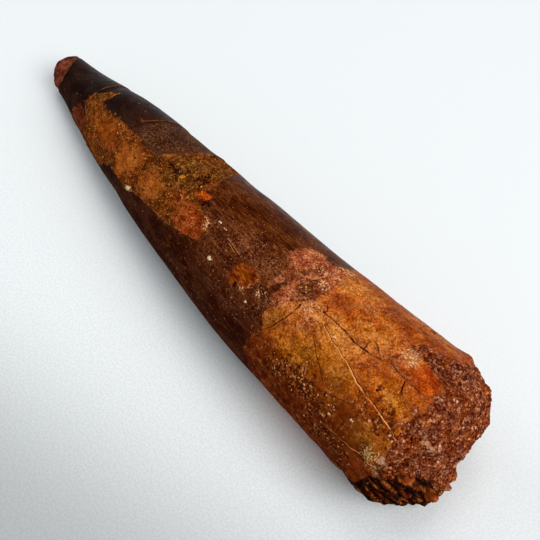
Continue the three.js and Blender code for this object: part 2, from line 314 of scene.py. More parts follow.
# Places that are chipped back or stand proud: (x, y, z) from the middle of the tooth's
# underside, how far the place reaches, and its height.
BULGES = [
    ((52.8, 14.2, 18.7), 3.2, -0.75), ((55.2, 13.6, 17), 2.6, 0.45), ((59.4, 9, 12.6), 3.2, 0.6),
    ((60.8, 5.8, 9.4), 4, -1.5), ((61.2, 1.2, 6.6), 2.4, 0.6), ((60.2, -7.6, 7.2), 4.2, -1.5),
    ((58.4, -11.2, 10.8), 3.6, -0.8), ((-10.6, 8.3, 14.5), 3, 0.3), ((-1.5, 9.3, 16), 4, -0.25),
    ((-24, -9.8, 8), 3.5, -0.25), ((50.3, 13.9, 19.3), 1.8, 0.5), ((53.2, 13.3, 18.5), 1.6, -0.35),
    ((55.4, 13.4, 17.5), 1.6, 0.4), ((58.9, 7.4, 16.5), 2, 0.5), ((60.8, 2.8, 8), 1.8, 0.5),
    ((-61, 0.8, 7.8), 1.6, -0.3), ((-60.6, -2.2, 7.3), 1.3, 0.4),
]

# The relief's lumps and grain: (height, size). What is sunk or deep is one height. The
# crust's lumps grow over the reach, before the wall rounds over.
SWELLS = (0.22, 13)
CRUST_LUMPS = [(0.75, 4.4), (0.4, 2)]
CRUST_REACH = 7
CRUST_GRAIN = (0.2, 0.62)
CRUST_RUGGED = (0.34, 2.4)
CRUST_SUNK = 0.18
CRUST_WORN = 0.12
SAND_WORN = 0.07
WORN_SIZE = 1.3
AMBER_WAVES = (0.07, 2.6)
AMBER_GRAIN = (0.03, 0.9)
SAND_DEPTH = 0.36
SAND_SWELLS = (0.24, 3.4)
SAND_GRAIN = (0.16, 0.45)
STUB_BREAKS = (0.3, 2)
STUB_SUNK = 0.2
RED_DEPTH = 0.22
SPECK_HEIGHT = 0.14

# Steps down at the edge of a mark: (depth, where the step starts, where it ends).
STEPS_DOWN = {"orange": (0.16, 0, 0.7), "brown": (0.14, -0.05, 0.3), "pit": (0.3, 0.3, 0.8)}

# Crumbs stuck on the surface: (height between the grains, height of the grains).
CRUMBS = {"chalk": (0.06, 0.16), "grime": (-0.06, 0.13)}
PINK_LEVEL = 0.05
PINK_GRAIN = 0.12

CRACK_DEPTH = 0.14
CRACK_LIP = 0.05

# How far noise bends the edges of the patches and the cracks: (reach, size).
RAGGED = (0.42, 2.8)
RAGGED_CRACK = (0.13, 1.4)
RAGGED_LEDGE = (0.2, 2)

# How much a crack's width varies: (share, size of the noise).
CRACK_VARIES = (0.5, 2.2)

# How wide the mesh's squares should be, in millimetres, and how much wider they may be.
SQUARE_SLACK = 1.45
SQUARE_ON_TOP = 0.62
SQUARE_BELOW = 1
SQUARE_AMBER = 0.5
SQUARE_SAND = 0.3
SQUARE_CRUMBS = 0.26
SQUARE_CRUST = 0.27
SQUARE_CRUST_BELOW = 0.5
SQUARE_SPOT = 0.12
SQUARE_CRACK = 0.09
SQUARE_NEAR_EDGE = 0.25

# Squares are smallest up to the first distance, and small up to the second: from an edge
# in millimetres, and from a crack in its half widths.
NEAR_EDGE = (0.3, 0.6)
NEAR_CRACK = (3.2, 6)

# ---------------------------------------------------------------- numbers and noise

# Further than any distance that counts.
FAR = 9


def smooth(value, low, high):
    """0 below low, 1 above high, and an eased rise between."""
    t = np.clip((value - low) / (high - low), 0, 1)
    return t * t * (3 - 2 * t)


def read_table(rows, column, at):
    """A column of a table at any place, on a smooth curve through its rows."""
    x, y = rows[:, 0], rows[:, column]
    before = np.maximum(np.arange(len(x)) - 1, 0)
    after = np.minimum(np.arange(len(x)) + 1, len(x) - 1)
    slope = (y[after] - y[before]) / (x[after] - x[before])
    row = np.clip(np.searchsorted(x, at, side="left") - 1, 0, len(x) - 2)
    span = x[row + 1] - x[row]
    rise = y[row + 1] - y[row]
    t = (at - x[row]) / span
    bend = (1 - t) * (slope[row] * span - rise) - t * (slope[row + 1] * span - rise)
    return y[row] + t * rise + t * (1 - t) * bend


def grid_number(cell, seed):
    """A fixed random number between -1 and 1 for each corner of a cubic grid."""
    x, y, z = cell[..., 0], cell[..., 1], cell[..., 2]
    mixed = (x * 374761393 + y * 668265263 + z * 1440662683 + seed * 1013904223) & 0xFFFFFFFF
    mixed = ((mixed ^ (mixed >> 13)) * 1274126177) & 0xFFFFFFFF
    mixed = ((mixed ^ (mixed >> 15)) * 2246822519) & 0xFFFFFFFF
    return ((mixed ^ (mixed >> 16)) & 0xFFFF) / 32767.5 - 1


def noise(points, size, seed=0):
    """Smooth random lumps between about -1 and 1, one lump every size millimetres."""
    places = points / size
    cell = np.floor(places).astype(np.int64)
    offset = places - cell
    blend = offset * offset * offset * (offset * (offset * 6 - 15) + 10)
    total = np.zeros(len(points))
    for corner in np.ndindex(2, 2, 2):
        step = np.array(corner)
        weight = np.prod(np.where(step, blend, 1 - blend), axis=1)
        toward = offset - step
        slope = [grid_number(cell + step, seed + 31 * axis) for axis in range(3)]
        total += weight * sum(toward[:, axis] * slope[axis] for axis in range(3))
    return 1.6 * total


def lumps(points, size):
    """The same large lumps as the CAD node has: blended random numbers of a cubic grid."""
    places = points / size
    cell = np.floor(places)
    blend = smooth(places - cell, 0, 1)
    total = np.zeros(len(points))
    for corner in np.ndindex(2, 2, 2):
        step = np.array(corner)
        wave = np.sin((cell + step) @ [127.1, 311.7, 74.7]) * 43758.5453
        weight = np.prod(np.where(step, blend, 1 - blend), axis=1)
        total += weight * (2 * (wave - np.floor(wave)) - 1)
    return total


def layered_noise(points, size, layers, seed=0):
    """Noise with finer and finer layers, each of half the size and height."""
    return sum(noise(points, size / 2 ** k, seed + 7 * k) / 2 ** k for k in range(layers))


def pebbles(points, size, seed=0):
    """The height of packed round grains, from 0 to 1."""
    places = points / size
    cell = np.floor(places).astype(np.int64)
    nearest = np.full(len(points), FAR)
    for shift in np.ndindex(3, 3, 3):
        neighbour = cell + np.array(shift) - 1
        centre = [0.5 + 0.42 * grid_number(neighbour, seed + 17 * axis) for axis in range(3)]
        distance = np.linalg.norm(neighbour + np.stack(centre, axis=1) - places, axis=1)
        nearest = np.where(distance < nearest, distance, nearest)
    return np.sqrt(np.clip(1 - (nearest / 0.75) ** 2, 0, 1))


# ---------------------------------------------------------------- distances on the surface


def radius_at(along):
    return read_table(SECTIONS, 1, np.clip(along, 0, LENGTH)) / 2


def turn_between(angle, other):
    """The turn from one angle to another, between -180 and 180 degrees."""
    return (other - angle + 180) % 360 - 180


def line_distance(along, angle, points):
    """Distance in millimetres from each place to a chain of straight marks, and its side.

    The side is above 0 to the left of the chain, seen from outside along its points.
    """
    radius = radius_at(along)
    nearest = np.full(len(along), np.inf)
    side = np.zeros(len(along))
    for start, end in zip(points[:-1], points[1:]):
        ax = start[0] - along
        ay = np.radians(turn_between(angle, start[1])) * radius
        dx = end[0] - start[0]
        dy = np.radians(end[1] - start[1]) * radius
        t = np.clip(-(ax * dx + ay * dy) / (dx * dx + dy * dy), 0, 1)
        distance = np.hypot(ax + t * dx, ay + t * dy)
        side = np.where(distance < nearest, dx * ay - dy * ax, side)
        nearest = np.minimum(distance, nearest)
    return nearest, side


def depth_inside(along, angle, outline):
    """How far each place lies inside an outline, in millimetres; below 0 outside it."""
    distance, _ = line_distance(along, angle, outline + outline[:1])
    middle = sum(point[1] for point in outline) / len(outline)
    side = middle + turn_between(middle, angle)
    within = np.zeros(len(along), dtype=bool)
    for (a_along, a_side), (b_along, b_side) in zip(outline, outline[1:] + outline[:1]):
        if a_side == b_side:
            continue
        crosses = (a_side > side) != (b_side > side)
        meets = a_along + (side - a_side) * (b_along - a_along) / (b_side - a_side)
        within ^= crosses & (along < meets)
    return np.where(within, distance, -distance)


def deepest_inside(along, angle, outlines):
    return np.max([depth_inside(along, angle, outline) for outline in outlines], axis=0)


def spot_strength(along, angle, spots):
    """Soft spots: 1 at a strong spot's middle and 0 well outside it."""
    radius = radius_at(along)
    total = np.zeros(len(along))
    for place, side, half_length, half_width, strength in spots:
        across = np.radians(turn_between(side, angle)) * radius
        away = ((along - place) / half_length) ** 2 + (across / half_width) ** 2
        total = np.maximum(total, strength * np.exp(-away))
    return total


# ---------------------------------------------------------------- the plain form


def wall_point(along, angle):
    """The plain oval wall, before anything is broken off or added."""
    half_width = radius_at(along)
    turn = np.radians(angle)
    shift = read_table(SECTIONS, 2, np.clip(along, 0, LENGTH))
    height = half_width * HEIGHT_TO_WIDTH * (1 + np.cos(turn))
    return np.stack([along - LENGTH / 2, shift - half_width * np.sin(turn), height], axis=-1)


def signed(angle):
    """The same angle, written between -180 and 180."""
    return turn_between(0, angle)


def outward(angle):
    turn = np.radians(angle)
    return np.stack([np.zeros_like(turn), -np.sin(turn), np.cos(turn)], axis=-1)


def unit(vectors):
    return vectors / np.maximum(np.linalg.norm(vectors, axis=-1, keepdims=True), 1e-9)


RING = np.arange(-180, 180, 2.0)
TIP_MIDDLE = wall_point(read_table(TIP_RIM, 1, RING), RING).mean(axis=0)
ROOT_PEAK = wall_point(np.full_like(RING, LENGTH), RING).mean(axis=0)
ROOT_PEAK = ROOT_PEAK - [0, ROOT_PEAK_ASIDE, ROOT_PEAK_DROP]


def form(stage, angle):
    """Point, outward direction and distance from the tip of the plain closed form.

    The stage runs from 0 at the middle of the broken tip, through 1 at its edge and 2 at
    the rim of the root end, to 3 at the root end's peak.
    """
    side = signed(angle)
    tip_edge = read_table(TIP_RIM, 1, side)
    root_edge = read_table(ROOT_RIM, 1, side)
    roundness = read_table(ROOT_RIM, 2, side)
    along = tip_edge + (root_edge - tip_edge) * np.clip(stage - 1, 0, 1)
    point = wall_point(along, angle)
    out = outward(angle)

    share = np.clip(stage, 0, 1)[:, None]
    crown = TIP_CROWN * (1 - share ** 2) * [1, 0, 0]
    on_tip = (stage < 1)[:, None]
    lean = smooth(stage, 0.6, 1)[:, None]
    tip_out = unit(out * lean + (1 - lean) * [-1, 0, 0])
    point = np.where(on_tip, TIP_MIDDLE + (point - TIP_MIDDLE) * share - crown, point)
    out = np.where(on_tip, tip_out, out)

    reach = np.cos(np.radians(90) * np.clip(stage - 2, 0, 1))
    rise = np.sqrt(1 - reach ** (2 / roundness))
    dome = ROOT_PEAK + (point - ROOT_PEAK) * reach[:, None]
    dome[:, 0] = point[:, 0] + (ROOT_PEAK[0] - point[:, 0]) * rise
    spoke = unit((point - ROOT_PEAK) * [0, 1, 1])
    dome_out = unit(spoke * reach[:, None] + rise[:, None] * [1, 0, 0])
    on_dome = (stage > 2)[:, None]
    point = np.where(on_dome, dome, point)
    out = np.where(on_dome, dome_out, out)
    return point, out, point[:, 0] + LENGTH / 2


# ---------------------------------------------------------------- marks and relief


def read_marks(point, along, angle):
    """How deep inside each patch, how near each crack and so on, in millimetres."""
    radius = radius_at(along)
    reach, size = RAGGED
    ragged = reach * layered_noise(point, size, 3, seed=11)
    sideways = reach * layered_noise(point, size, 3, seed=12)
    near = along + ragged
    turned = angle + np.degrees(sideways / radius)
    side = signed(turned)
    marks = {name: deepest_inside(near, turned, outlines) for name, outlines in PATCHES.items()}
    for name, spots in SOFT_SPOTS.items():
        marks[name] = spot_strength(near, turned, spots)
    for name, spots in SHARP_SPOTS.items():
        marks[name] = spot_strength(along, angle, spots)
    marks["stub"] = np.interp(side, *STUB_END.T) - near
    marks["amber"] = near - np.interp(side, *AMBER_EDGE.T)
    marks["crust"] = near - np.interp(side, *CRUST_EDGE.T)
    marks["splinter"] = splinter_share(near, side)
    bent = point + SHARD_BEND * np.array([ragged, sideways, ragged]).T
    marks["shard"], marks["shard_height"] = shard_share(bent)
    marks["crack"], marks["pale_crack"] = read_cracks(point, along, angle)
    marks["ledge"], marks["ledge_drop"] = read_ledges(point, along, angle)
    marks["along"] = along
    marks["top"] = np.cos(np.radians(angle))
    marks["side"] = np.sin(np.radians(angle))
    return marks


def splinter_share(along, side):
    low = np.interp(along, SPLINTER_LIMITS[:, 0], SPLINTER_LIMITS[:, 1])
    high = np.interp(along, SPLINTER_LIMITS[:, 0], SPLINTER_LIMITS[:, 2])
    above = smooth(side, low - SPLINTER_FADE_ABOVE, low + SPLINTER_FADE_ABOVE)
    below = 1 - smooth(side, high - SPLINTER_FADE_BELOW, high + SPLINTER_FADE_BELOW)
    return above * below * smooth(along, SPLINTER_FROM, SPLINTER_FULL)


def shard_share(point):
    """1 on the middle line of a long splinter, and below 0 beyond its half width; its height."""
    share = np.full(len(point), -FAR)
    height = np.zeros(len(point))
    for start, end, half_width, rise in SHARDS:
        line = np.subtract(end, start)
        reach = np.clip((point - start) @ line / (line @ line), 0, 1)
        away = np.linalg.norm(point - start - reach[:, None] * line, axis=1)
        near = 1 - away / half_width
        share = np.maximum(share, near)
        groove = np.exp(-((away - half_width) / SHARD_GROOVE_WIDTH) ** 2)
        height = np.maximum(height, rise * smooth(near, 0, 0.7))
        height -= SHARD_GROOVE_DEPTH * rise * groove
    return share, height


def read_cracks(point, along, angle):
    """Distance to the nearest crack as a share of its width, and how pale its edge is."""
    radius = radius_at(along)
    reach, size = RAGGED_CRACK
    near = along + reach * layered_noise(point, size, 3, seed=21)
    turned = angle + np.degrees(reach * layered_noise(point, size, 3, seed=22) / radius)
    varied = 1 + CRACK_VARIES[0] * noise(point, CRACK_VARIES[1], seed=23)
    closest = np.full(len(along), FAR)
    pale = np.zeros(len(along))
    for width, paleness, points in CRACKS:
        distance, side = line_distance(near, turned, points)
        ratio = distance / (width * varied)
        edge = np.where((side > 0) | (paleness > 1), paleness, 0)
        pale = np.where(ratio < closest, edge, pale)
        closest = np.minimum(closest, ratio)
    return closest, pale


def read_ledges(point, along, angle):
    """Signed distance past the nearest ledge, and the drop that the ledges make."""
    near = along + RAGGED_LEDGE[0] * layered_noise(point, RAGGED_LEDGE[1], 2, seed=31)
    closest = np.full(len(along), FAR)
    drop = np.zeros(len(along))
    for place, slope, first, last, depth in LEDGES:
        middle = (first + last) / 2
        side = middle + turn_between(middle, angle)
        past = near - place - slope * side
        inside = smooth(side, first, first + LEDGE_FADE) * (1 - smooth(side, last - LEDGE_FADE, last))
        beyond = np.where(past > 0, 1 - smooth(past, 0, LEDGE_RAMP), 0)
        drop += depth * inside * beyond
        past = np.where(inside > 0.5, past, FAR)
        closest = np.where(np.abs(past) < np.abs(closest), past, closest)
    return closest, drop


def relief(point, along, angle, marks):
    """The height of the surface above the plain form, in millimetres."""
    crust = marks["crust"]
    rim = read_table(ROOT_RIM, 1, signed(angle))
    fine_grain = pebbles(point, SAND_GRAIN[1], seed=44)
    worn = noise(point, WORN_SIZE, seed=45)

    height = SWELLS[0] * lumps(point, SWELLS[1])
    for place, reach, rise in BULGES:
        height += rise * np.exp(-(np.linalg.norm(point - place, axis=1) / reach) ** 2)
    lumpy = sum(rise * lumps(point, size) for rise, size in CRUST_LUMPS)
    height += smooth(along, rim - CRUST_REACH, rim) * lumpy
    grain = CRUST_GRAIN[0] * pebbles(point, CRUST_GRAIN[1], seed=43)
    rugged = CRUST_RUGGED[0] * layered_noise(point, CRUST_RUGGED[1], 3, seed=49)
    height += smooth(crust, -0.1, 0.5) * (grain + CRUST_WORN * worn + rugged - CRUST_SUNK)

    waves = AMBER_WAVES[0] * noise(point, AMBER_WAVES[1], seed=46)
    waves += AMBER_GRAIN[0] * noise(point, AMBER_GRAIN[1], seed=47)
    height += smooth(marks["amber"], 0, 2) * (1 - smooth(crust, -1, 0)) * waves

    sandy = smooth(marks["sandy"], -0.05, 0.28)
    fill = SAND_SWELLS[0] * layered_noise(point, SAND_SWELLS[1], 2, seed=48)
    smooth_bottom = smooth(marks["ochre"], -0.2, 0.5)
    height += sandy * (-SAND_DEPTH + fill * (1 - 0.7 * smooth_bottom))
    height += sandy * (1 - smooth_bottom) * (SAND_GRAIN[0] * fine_grain + SAND_WORN * worn)
    height -= RED_DEPTH * smooth(marks["red"], -0.05, 0.4) * (1 - sandy)
    for name, (depth, start, end) in STEPS_DOWN.items():
        height -= depth * smooth(marks[name], start, end)
    height += SPECK_HEIGHT * smooth(np.maximum(marks["white"], marks["yellow"]), 0.3, 0.8)
    height += smooth(marks["pink"], -0.2, 0.5) * (PINK_LEVEL + PINK_GRAIN * fine_grain)
    for name, (level, grainy) in CRUMBS.items():
        height += marks[name] * (level + grainy * fine_grain)
    broken = STUB_BREAKS[0] * layered_noise(point, STUB_BREAKS[1], 2, seed=50)
    height += smooth(marks["stub"], 0, 0.4) * (broken - STUB_SUNK)
    height -= marks["ledge_drop"]

    height -= CRACK_DEPTH * (1 - smooth(marks["crack"], 0.3, 1.6))
    height += CRACK_LIP * marks["pale_crack"] * np.exp(-((marks["crack"] - 2.4) / 1.2) ** 2)
    height += marks["shard_height"]
    splinters = marks["splinter"] * (1 - 0.6 * smooth(marks["shard"], 0, 0.3))
    return height + splinter_height(point, along, angle, splinters)


def splinter_height(point, along, angle, share):
    """Saw-shaped grooves along the tooth, coarse and fine."""
    turn, size = SPLINTER_WANDER
    turned = angle + turn * noise(point * SPLINTER_STRETCH, size, seed=51)
    phase = (turned + (along - SPLINTER_FROM) / SPLINTER_MM_PER_DEGREE) / SPLINTER_PITCH
    height = SPLINTER_HEIGHT * (phase - np.floor(phase) - 1) + SPLINTER_RISE
    for rise, size, seed in SPLINTER_ROUGH:
        height += rise * noise(point @ SPLINTER_GRAIN, size, seed)
    return share * height


def surface(stage, angle):
    """Points of the finished surface in millimetres, with their marks."""
    point, out, along = form(stage, angle)
    marks = read_marks(point, along, angle)
    raised = point + out * relief(point, along, angle, marks)[:, None]
    raised[:, 2] = np.maximum(raised[:, 2] - REST_FLAT_DEPTH, 0)
    return raised, marks


# ---------------------------------------------------------------- the fine mesh


def ring_stages():
    """Stages of rings whose squares are about as long as wide, and each square's width."""
    samples = np.linspace(FIRST_STAGE, LAST_STAGE, STAGE_SAMPLES)
    turns = range(0, 360, SAMPLE_TURN)
    around = [form(samples, np.full(len(samples), turn))[0] for turn in turns]
    rings = np.stack(around)
    radius = np.linalg.norm(rings - rings.mean(axis=0), axis=2).mean(axis=0)
    width = 2 * math.pi * radius / COLUMNS
    step = np.linalg.norm(np.diff(rings, axis=1), axis=2).mean(axis=0)
    count = np.concatenate([[0], np.cumsum(2 * step / (width[1:] + width[:-1]))])
    rows = np.linspace(0, count[-1], round(count[-1]) * FINEST + 1)
    return np.interp(rows, count, samples), np.interp(rows, count, width)


def wanted_size(stage, angle):
    """How wide the mesh's squares should be at each place, in millimetres."""
    point, _, along = form(stage, angle)
    marks = read_marks(point, along, angle)
    seen = marks["top"] > -0.6
    size = np.where(seen, SQUARE_ON_TOP, SQUARE_BELOW)
    size = np.where(marks["amber"] > 0, np.minimum(size, SQUARE_AMBER), size)
    size = np.where(marks["sandy"] > 0, SQUARE_SAND, size)
    size = np.where((marks["chalk"] > 0.4) | (marks["grime"] > 0.4), SQUARE_CRUMBS, size)
    spots = np.max([marks[key] for key in SHARP_SPOTS], axis=0)
    size = np.where(spots > 0.15, SQUARE_SPOT, size)
    on_crust = np.where(seen, SQUARE_CRUST, SQUARE_CRUST_BELOW)
    size = np.where(marks["crust"] > -0.3, on_crust, size)
    edges = np.stack([marks[key] for key in ("sandy", "red", "stub", "orange", "ledge")])
    nearest = np.abs(edges).min(axis=0)
    size = np.where(nearest < NEAR_EDGE[1], SQUARE_NEAR_EDGE, size)
    size = np.where(nearest < NEAR_EDGE[0], SQUARE_SPOT, size)
    size = np.where(marks["crack"] < NEAR_CRACK[1], SQUARE_NEAR_EDGE, size)
    return np.where(marks["crack"] < NEAR_CRACK[0], SQUARE_CRACK, size)


def grown(mask):
    """The set squares and their eight neighbours; the columns join up around the tooth."""
    beside = mask | np.roll(mask, 1, axis=1) | np.roll(mask, -1, axis=1)
    result = beside.copy()
    result[1:] |= beside[:-1]
    result[:-1] |= beside[1:]
    return result


def quartered(mask):
    return mask.repeat(2, axis=0).repeat(2, axis=1)


def any_quarter(mask):
    rows, columns = mask.shape
    return mask.reshape(rows // 2, 2, columns // 2, 2).any(axis=(1, 3))


def choose_splits(stages, widths):
    """For each level, which squares are split in four; neighbours differ by one level."""
    present = np.ones((len(stages) // FINEST, COLUMNS), dtype=bool)
    splits = []
    for level in range(LEVELS):
        span = FINEST >> level
        row, column = np.nonzero(present)
        middle = row * span + span // 2
        angle = (column + 0.5) * span * 360 / (COLUMNS * FINEST)
        split = np.zeros_like(present)
        wanted = wanted_size(stages[middle], angle)
        split[row, column] = widths[middle] / 2 ** level > wanted * SQUARE_SLACK
        splits.append(split)
        present = quartered(split)
    for level in reversed(range(LEVELS - 1)):
        splits[level] |= any_quarter(grown(splits[level + 1]))
    return splits


def leaf_squares(splits):
    """The first row, first column and span of every square that isn't split."""
    present = np.ones_like(splits[0])
    leaves = []
    for level in range(LEVELS + 1):
        split = splits[level] if level < LEVELS else np.zeros_like(present)
        row, column = np.nonzero(present & ~split)
        span = FINEST >> level
        leaves.append(np.stack([row * span, column * span, np.full(len(row), span)]))
        present = quartered(split)
    return np.concatenate(leaves, axis=1)


def build_surface():
    """Vertices in millimetres, triangles, and the marks at every vertex."""
    stages, widths = ring_stages()
    row, column, span = leaf_squares(choose_splits(stages, widths))
    around = COLUMNS * FINEST

    def at(down, right):
        return row + down, (column + right) % around

    half = span // 2
    corners = [at(0, 0), at(0, span), at(span, span), at(span, 0)]
    middles = [at(0, half), at(half, span), at(span, half), at(half, 0)]
    centre = at(half, half)
    used = np.zeros((len(stages), around), dtype=bool)
    for corner in corners:
        used[corner] = True
    # A square beside smaller ones has a vertex in the middle of a side, and is a fan.
    loose = [used[middle] & (span > 1) for middle in middles]
    fan = np.any(loose, axis=0)
    used[centre[0][fan], centre[1][fan]] = True
    number = np.cumsum(used).reshape(used.shape) - 1

    a, b, c, d = [number[corner][~fan] for corner in corners]
    triangles = [np.stack([a, b, c], axis=1), np.stack([a, c, d], axis=1)]
    hub = number[centre]
    for turn in range(4):
        start, end = number[corners[turn]], number[corners[(turn + 1) % 4]]
        middle = number[middles[turn]]
        whole, broken = fan & ~loose[turn], fan & loose[turn]
        for chosen, *side in ((whole, start, end), (broken, start, middle), (broken, middle, end)):
            triangles.append(np.stack([hub, *side], axis=1)[chosen])

    grid_row, grid_column = np.nonzero(used)
    stage = np.concatenate([stages[grid_row], [0, 3]])
    angle = np.concatenate([grid_column * 360 / around, [0, 0]])
    count = len(grid_row)
    for last_row, pole, flip in ((0, count, -1), (len(stages) - 1, count + 1, 1)):
        ring = number[last_row][used[last_row]]
        pair = np.stack([ring, np.roll(ring, -1)][::flip], axis=1)
        triangles.append(np.column_stack([np.full(len(ring), pole), pair]))
    points, marks = surface(stage, angle)
    return points, np.concatenate(triangles), marks


# ---------------------------------------------------------------- the pieces


def make_piece(name, points, triangles, marks, material, smooth_faces):
    """A mesh object from points in millimetres, with a float attribute for each mark."""
    mesh = bpy.data.meshes.new(name)
    mesh.from_pydata((points * MM).tolist(), [], triangles.tolist())
    for mark, values in marks.items():
        attribute = mesh.attributes.new(mark, "FLOAT", "POINT")
        attribute.data.foreach_set("value", values.astype(np.float32))
    mesh.polygons.foreach_set("use_smooth", [smooth_faces] * len(mesh.polygons))
    mesh.materials.append(material)
    mesh.update()
    piece = bpy.data.objects.new(name, mesh)
    bpy.context.scene.collection.objects.link(piece)
    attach(piece, "root")
    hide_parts("tooth")


def into_frame(points):
    """Moves points sideways so that the tooth's middle is the middle of its CAD node."""
    low, high = points.min(axis=0), points.max(axis=0)
    middle = np.array([(tooth_low[k] + tooth_high[k]) / 2 / MM for k in (0, 1)])
    return points + [*(middle - (low + high)[:2] / 2), 0]


def point_normals(points, triangles):
    a, b, c = (points[triangles[:, k]] for k in range(3))
    face = np.cross(b - a, c - a)
    total = np.stack([
        sum(np.bincount(triangles[:, k], face[:, axis], len(points)) for k in range(3))
        for axis in range(3)
    ], axis=1)
    return unit(total)


def scatter(points, triangles, weight, spacing, tries, seed):
    """Random places on the surface, as the corners of a triangle and their shares.

    At most one place is kept in each cube of the spacing.
    """
    random = np.random.default_rng(seed)
    a, b, c = (points[triangles[:, k]] for k in range(3))
    area = np.linalg.norm(np.cross(b - a, c - a), axis=1)
    chance = area * weight[triangles].mean(axis=1)
    chosen = random.choice(len(triangles), tries, p=chance / chance.sum())
    share = random.dirichlet([1, 1, 1], tries)
    corners = triangles[chosen]
    place = (points[corners] * share[:, :, None]).sum(axis=1)
    _, first = np.unique(np.floor(place / spacing), axis=0, return_index=True)
    return corners[first], share[first]


def blended(values, corners, share):
    picked = values[corners]
    return (picked * (share[:, :, None] if values.ndim > 1 else share)).sum(axis=1)


def unit_grain():
    """Vertices and triangles of a ball with twenty faces."""
    ball = bmesh.new()
    bmesh.ops.create_icosphere(ball, subdivisions=1, radius=1)
    vertices = np.array([vertex.co[:] for vertex in ball.verts])
    faces = np.array([[vertex.index for vertex in face.verts] for face in ball.faces])
    ball.free()
    return vertices, faces


# How much a grain's axes and its corners vary, and how high its middle stays above the
# table, all as shares of its size.
GRAIN_STRETCH = (0.7, 1.25)
GRAIN_ROUGH = (0.8, 1.15)
GRAIN_CLEARANCE = 0.8


def make_grains(name, skin, weight, spacing, tries, radius, sink, material, seed):
    """Angular grains half sunk in the surface, joined in one mesh."""
    points, triangles, marks = skin
    corners, share = scatter(points, triangles, weight, spacing, tries, seed)
    random = np.random.default_rng(seed + 1)
    count = len(corners)
    size = random.uniform(*radius, count)
    out = unit(blended(point_normals(points, triangles), corners, share))
    centre = blended(points, corners, share) + out * (size * random.uniform(*sink, count))[:, None]
    centre[:, 2] = np.maximum(centre[:, 2], size * GRAIN_CLEARANCE)

    vertices, faces = unit_grain()
    axes, _ = np.linalg.qr(random.normal(size=(count, 3, 3)))
    stretch = random.uniform(*GRAIN_STRETCH, (count, 1, 3))
    rough = random.uniform(*GRAIN_ROUGH, (count, len(vertices), 1))
    shapes = (vertices * stretch * rough) @ axes * size[:, None, None] + centre[:, None]
    shapes[:, :, 2] = np.maximum(shapes[:, :, 2], 0)
    all_faces = faces + len(vertices) * np.arange(count)[:, None, None]
    # A mirrored set of axes would turn a grain inside out.
    mirrored = np.linalg.det(axes) < 0
    all_faces[mirrored] = all_faces[mirrored][:, :, ::-1]
    each = len(vertices)
    carried = {
        "grain": np.repeat(random.uniform(0, 1, count), each),
        "chalk": np.repeat(blended(marks["chalk"], corners, share), each),
    }
    make_piece(name, shapes.reshape(-1, 3), all_faces.reshape(-1, 3), carried, material, False)


# ---------------------------------------------------------------- materials


def paint(red, green, blue):
    """A colour written in screen values from 0 to 255, as the linear colour shaders use."""
    screen = np.array([red, green, blue]) / 255
    linear = np.where(screen > 0.04045, ((screen + 0.055) / 1.055) ** 2.4, screen / 12.92)
    return (*linear.tolist(), 1)


# Noise that isn't stretched.
EVEN = (1, 1, 1)

# How the hue and the purity of a mottled colour change with each doubling of its brightness.
HUE_PER_STOP = 0.009
PALER_PER_STOP = 0.045


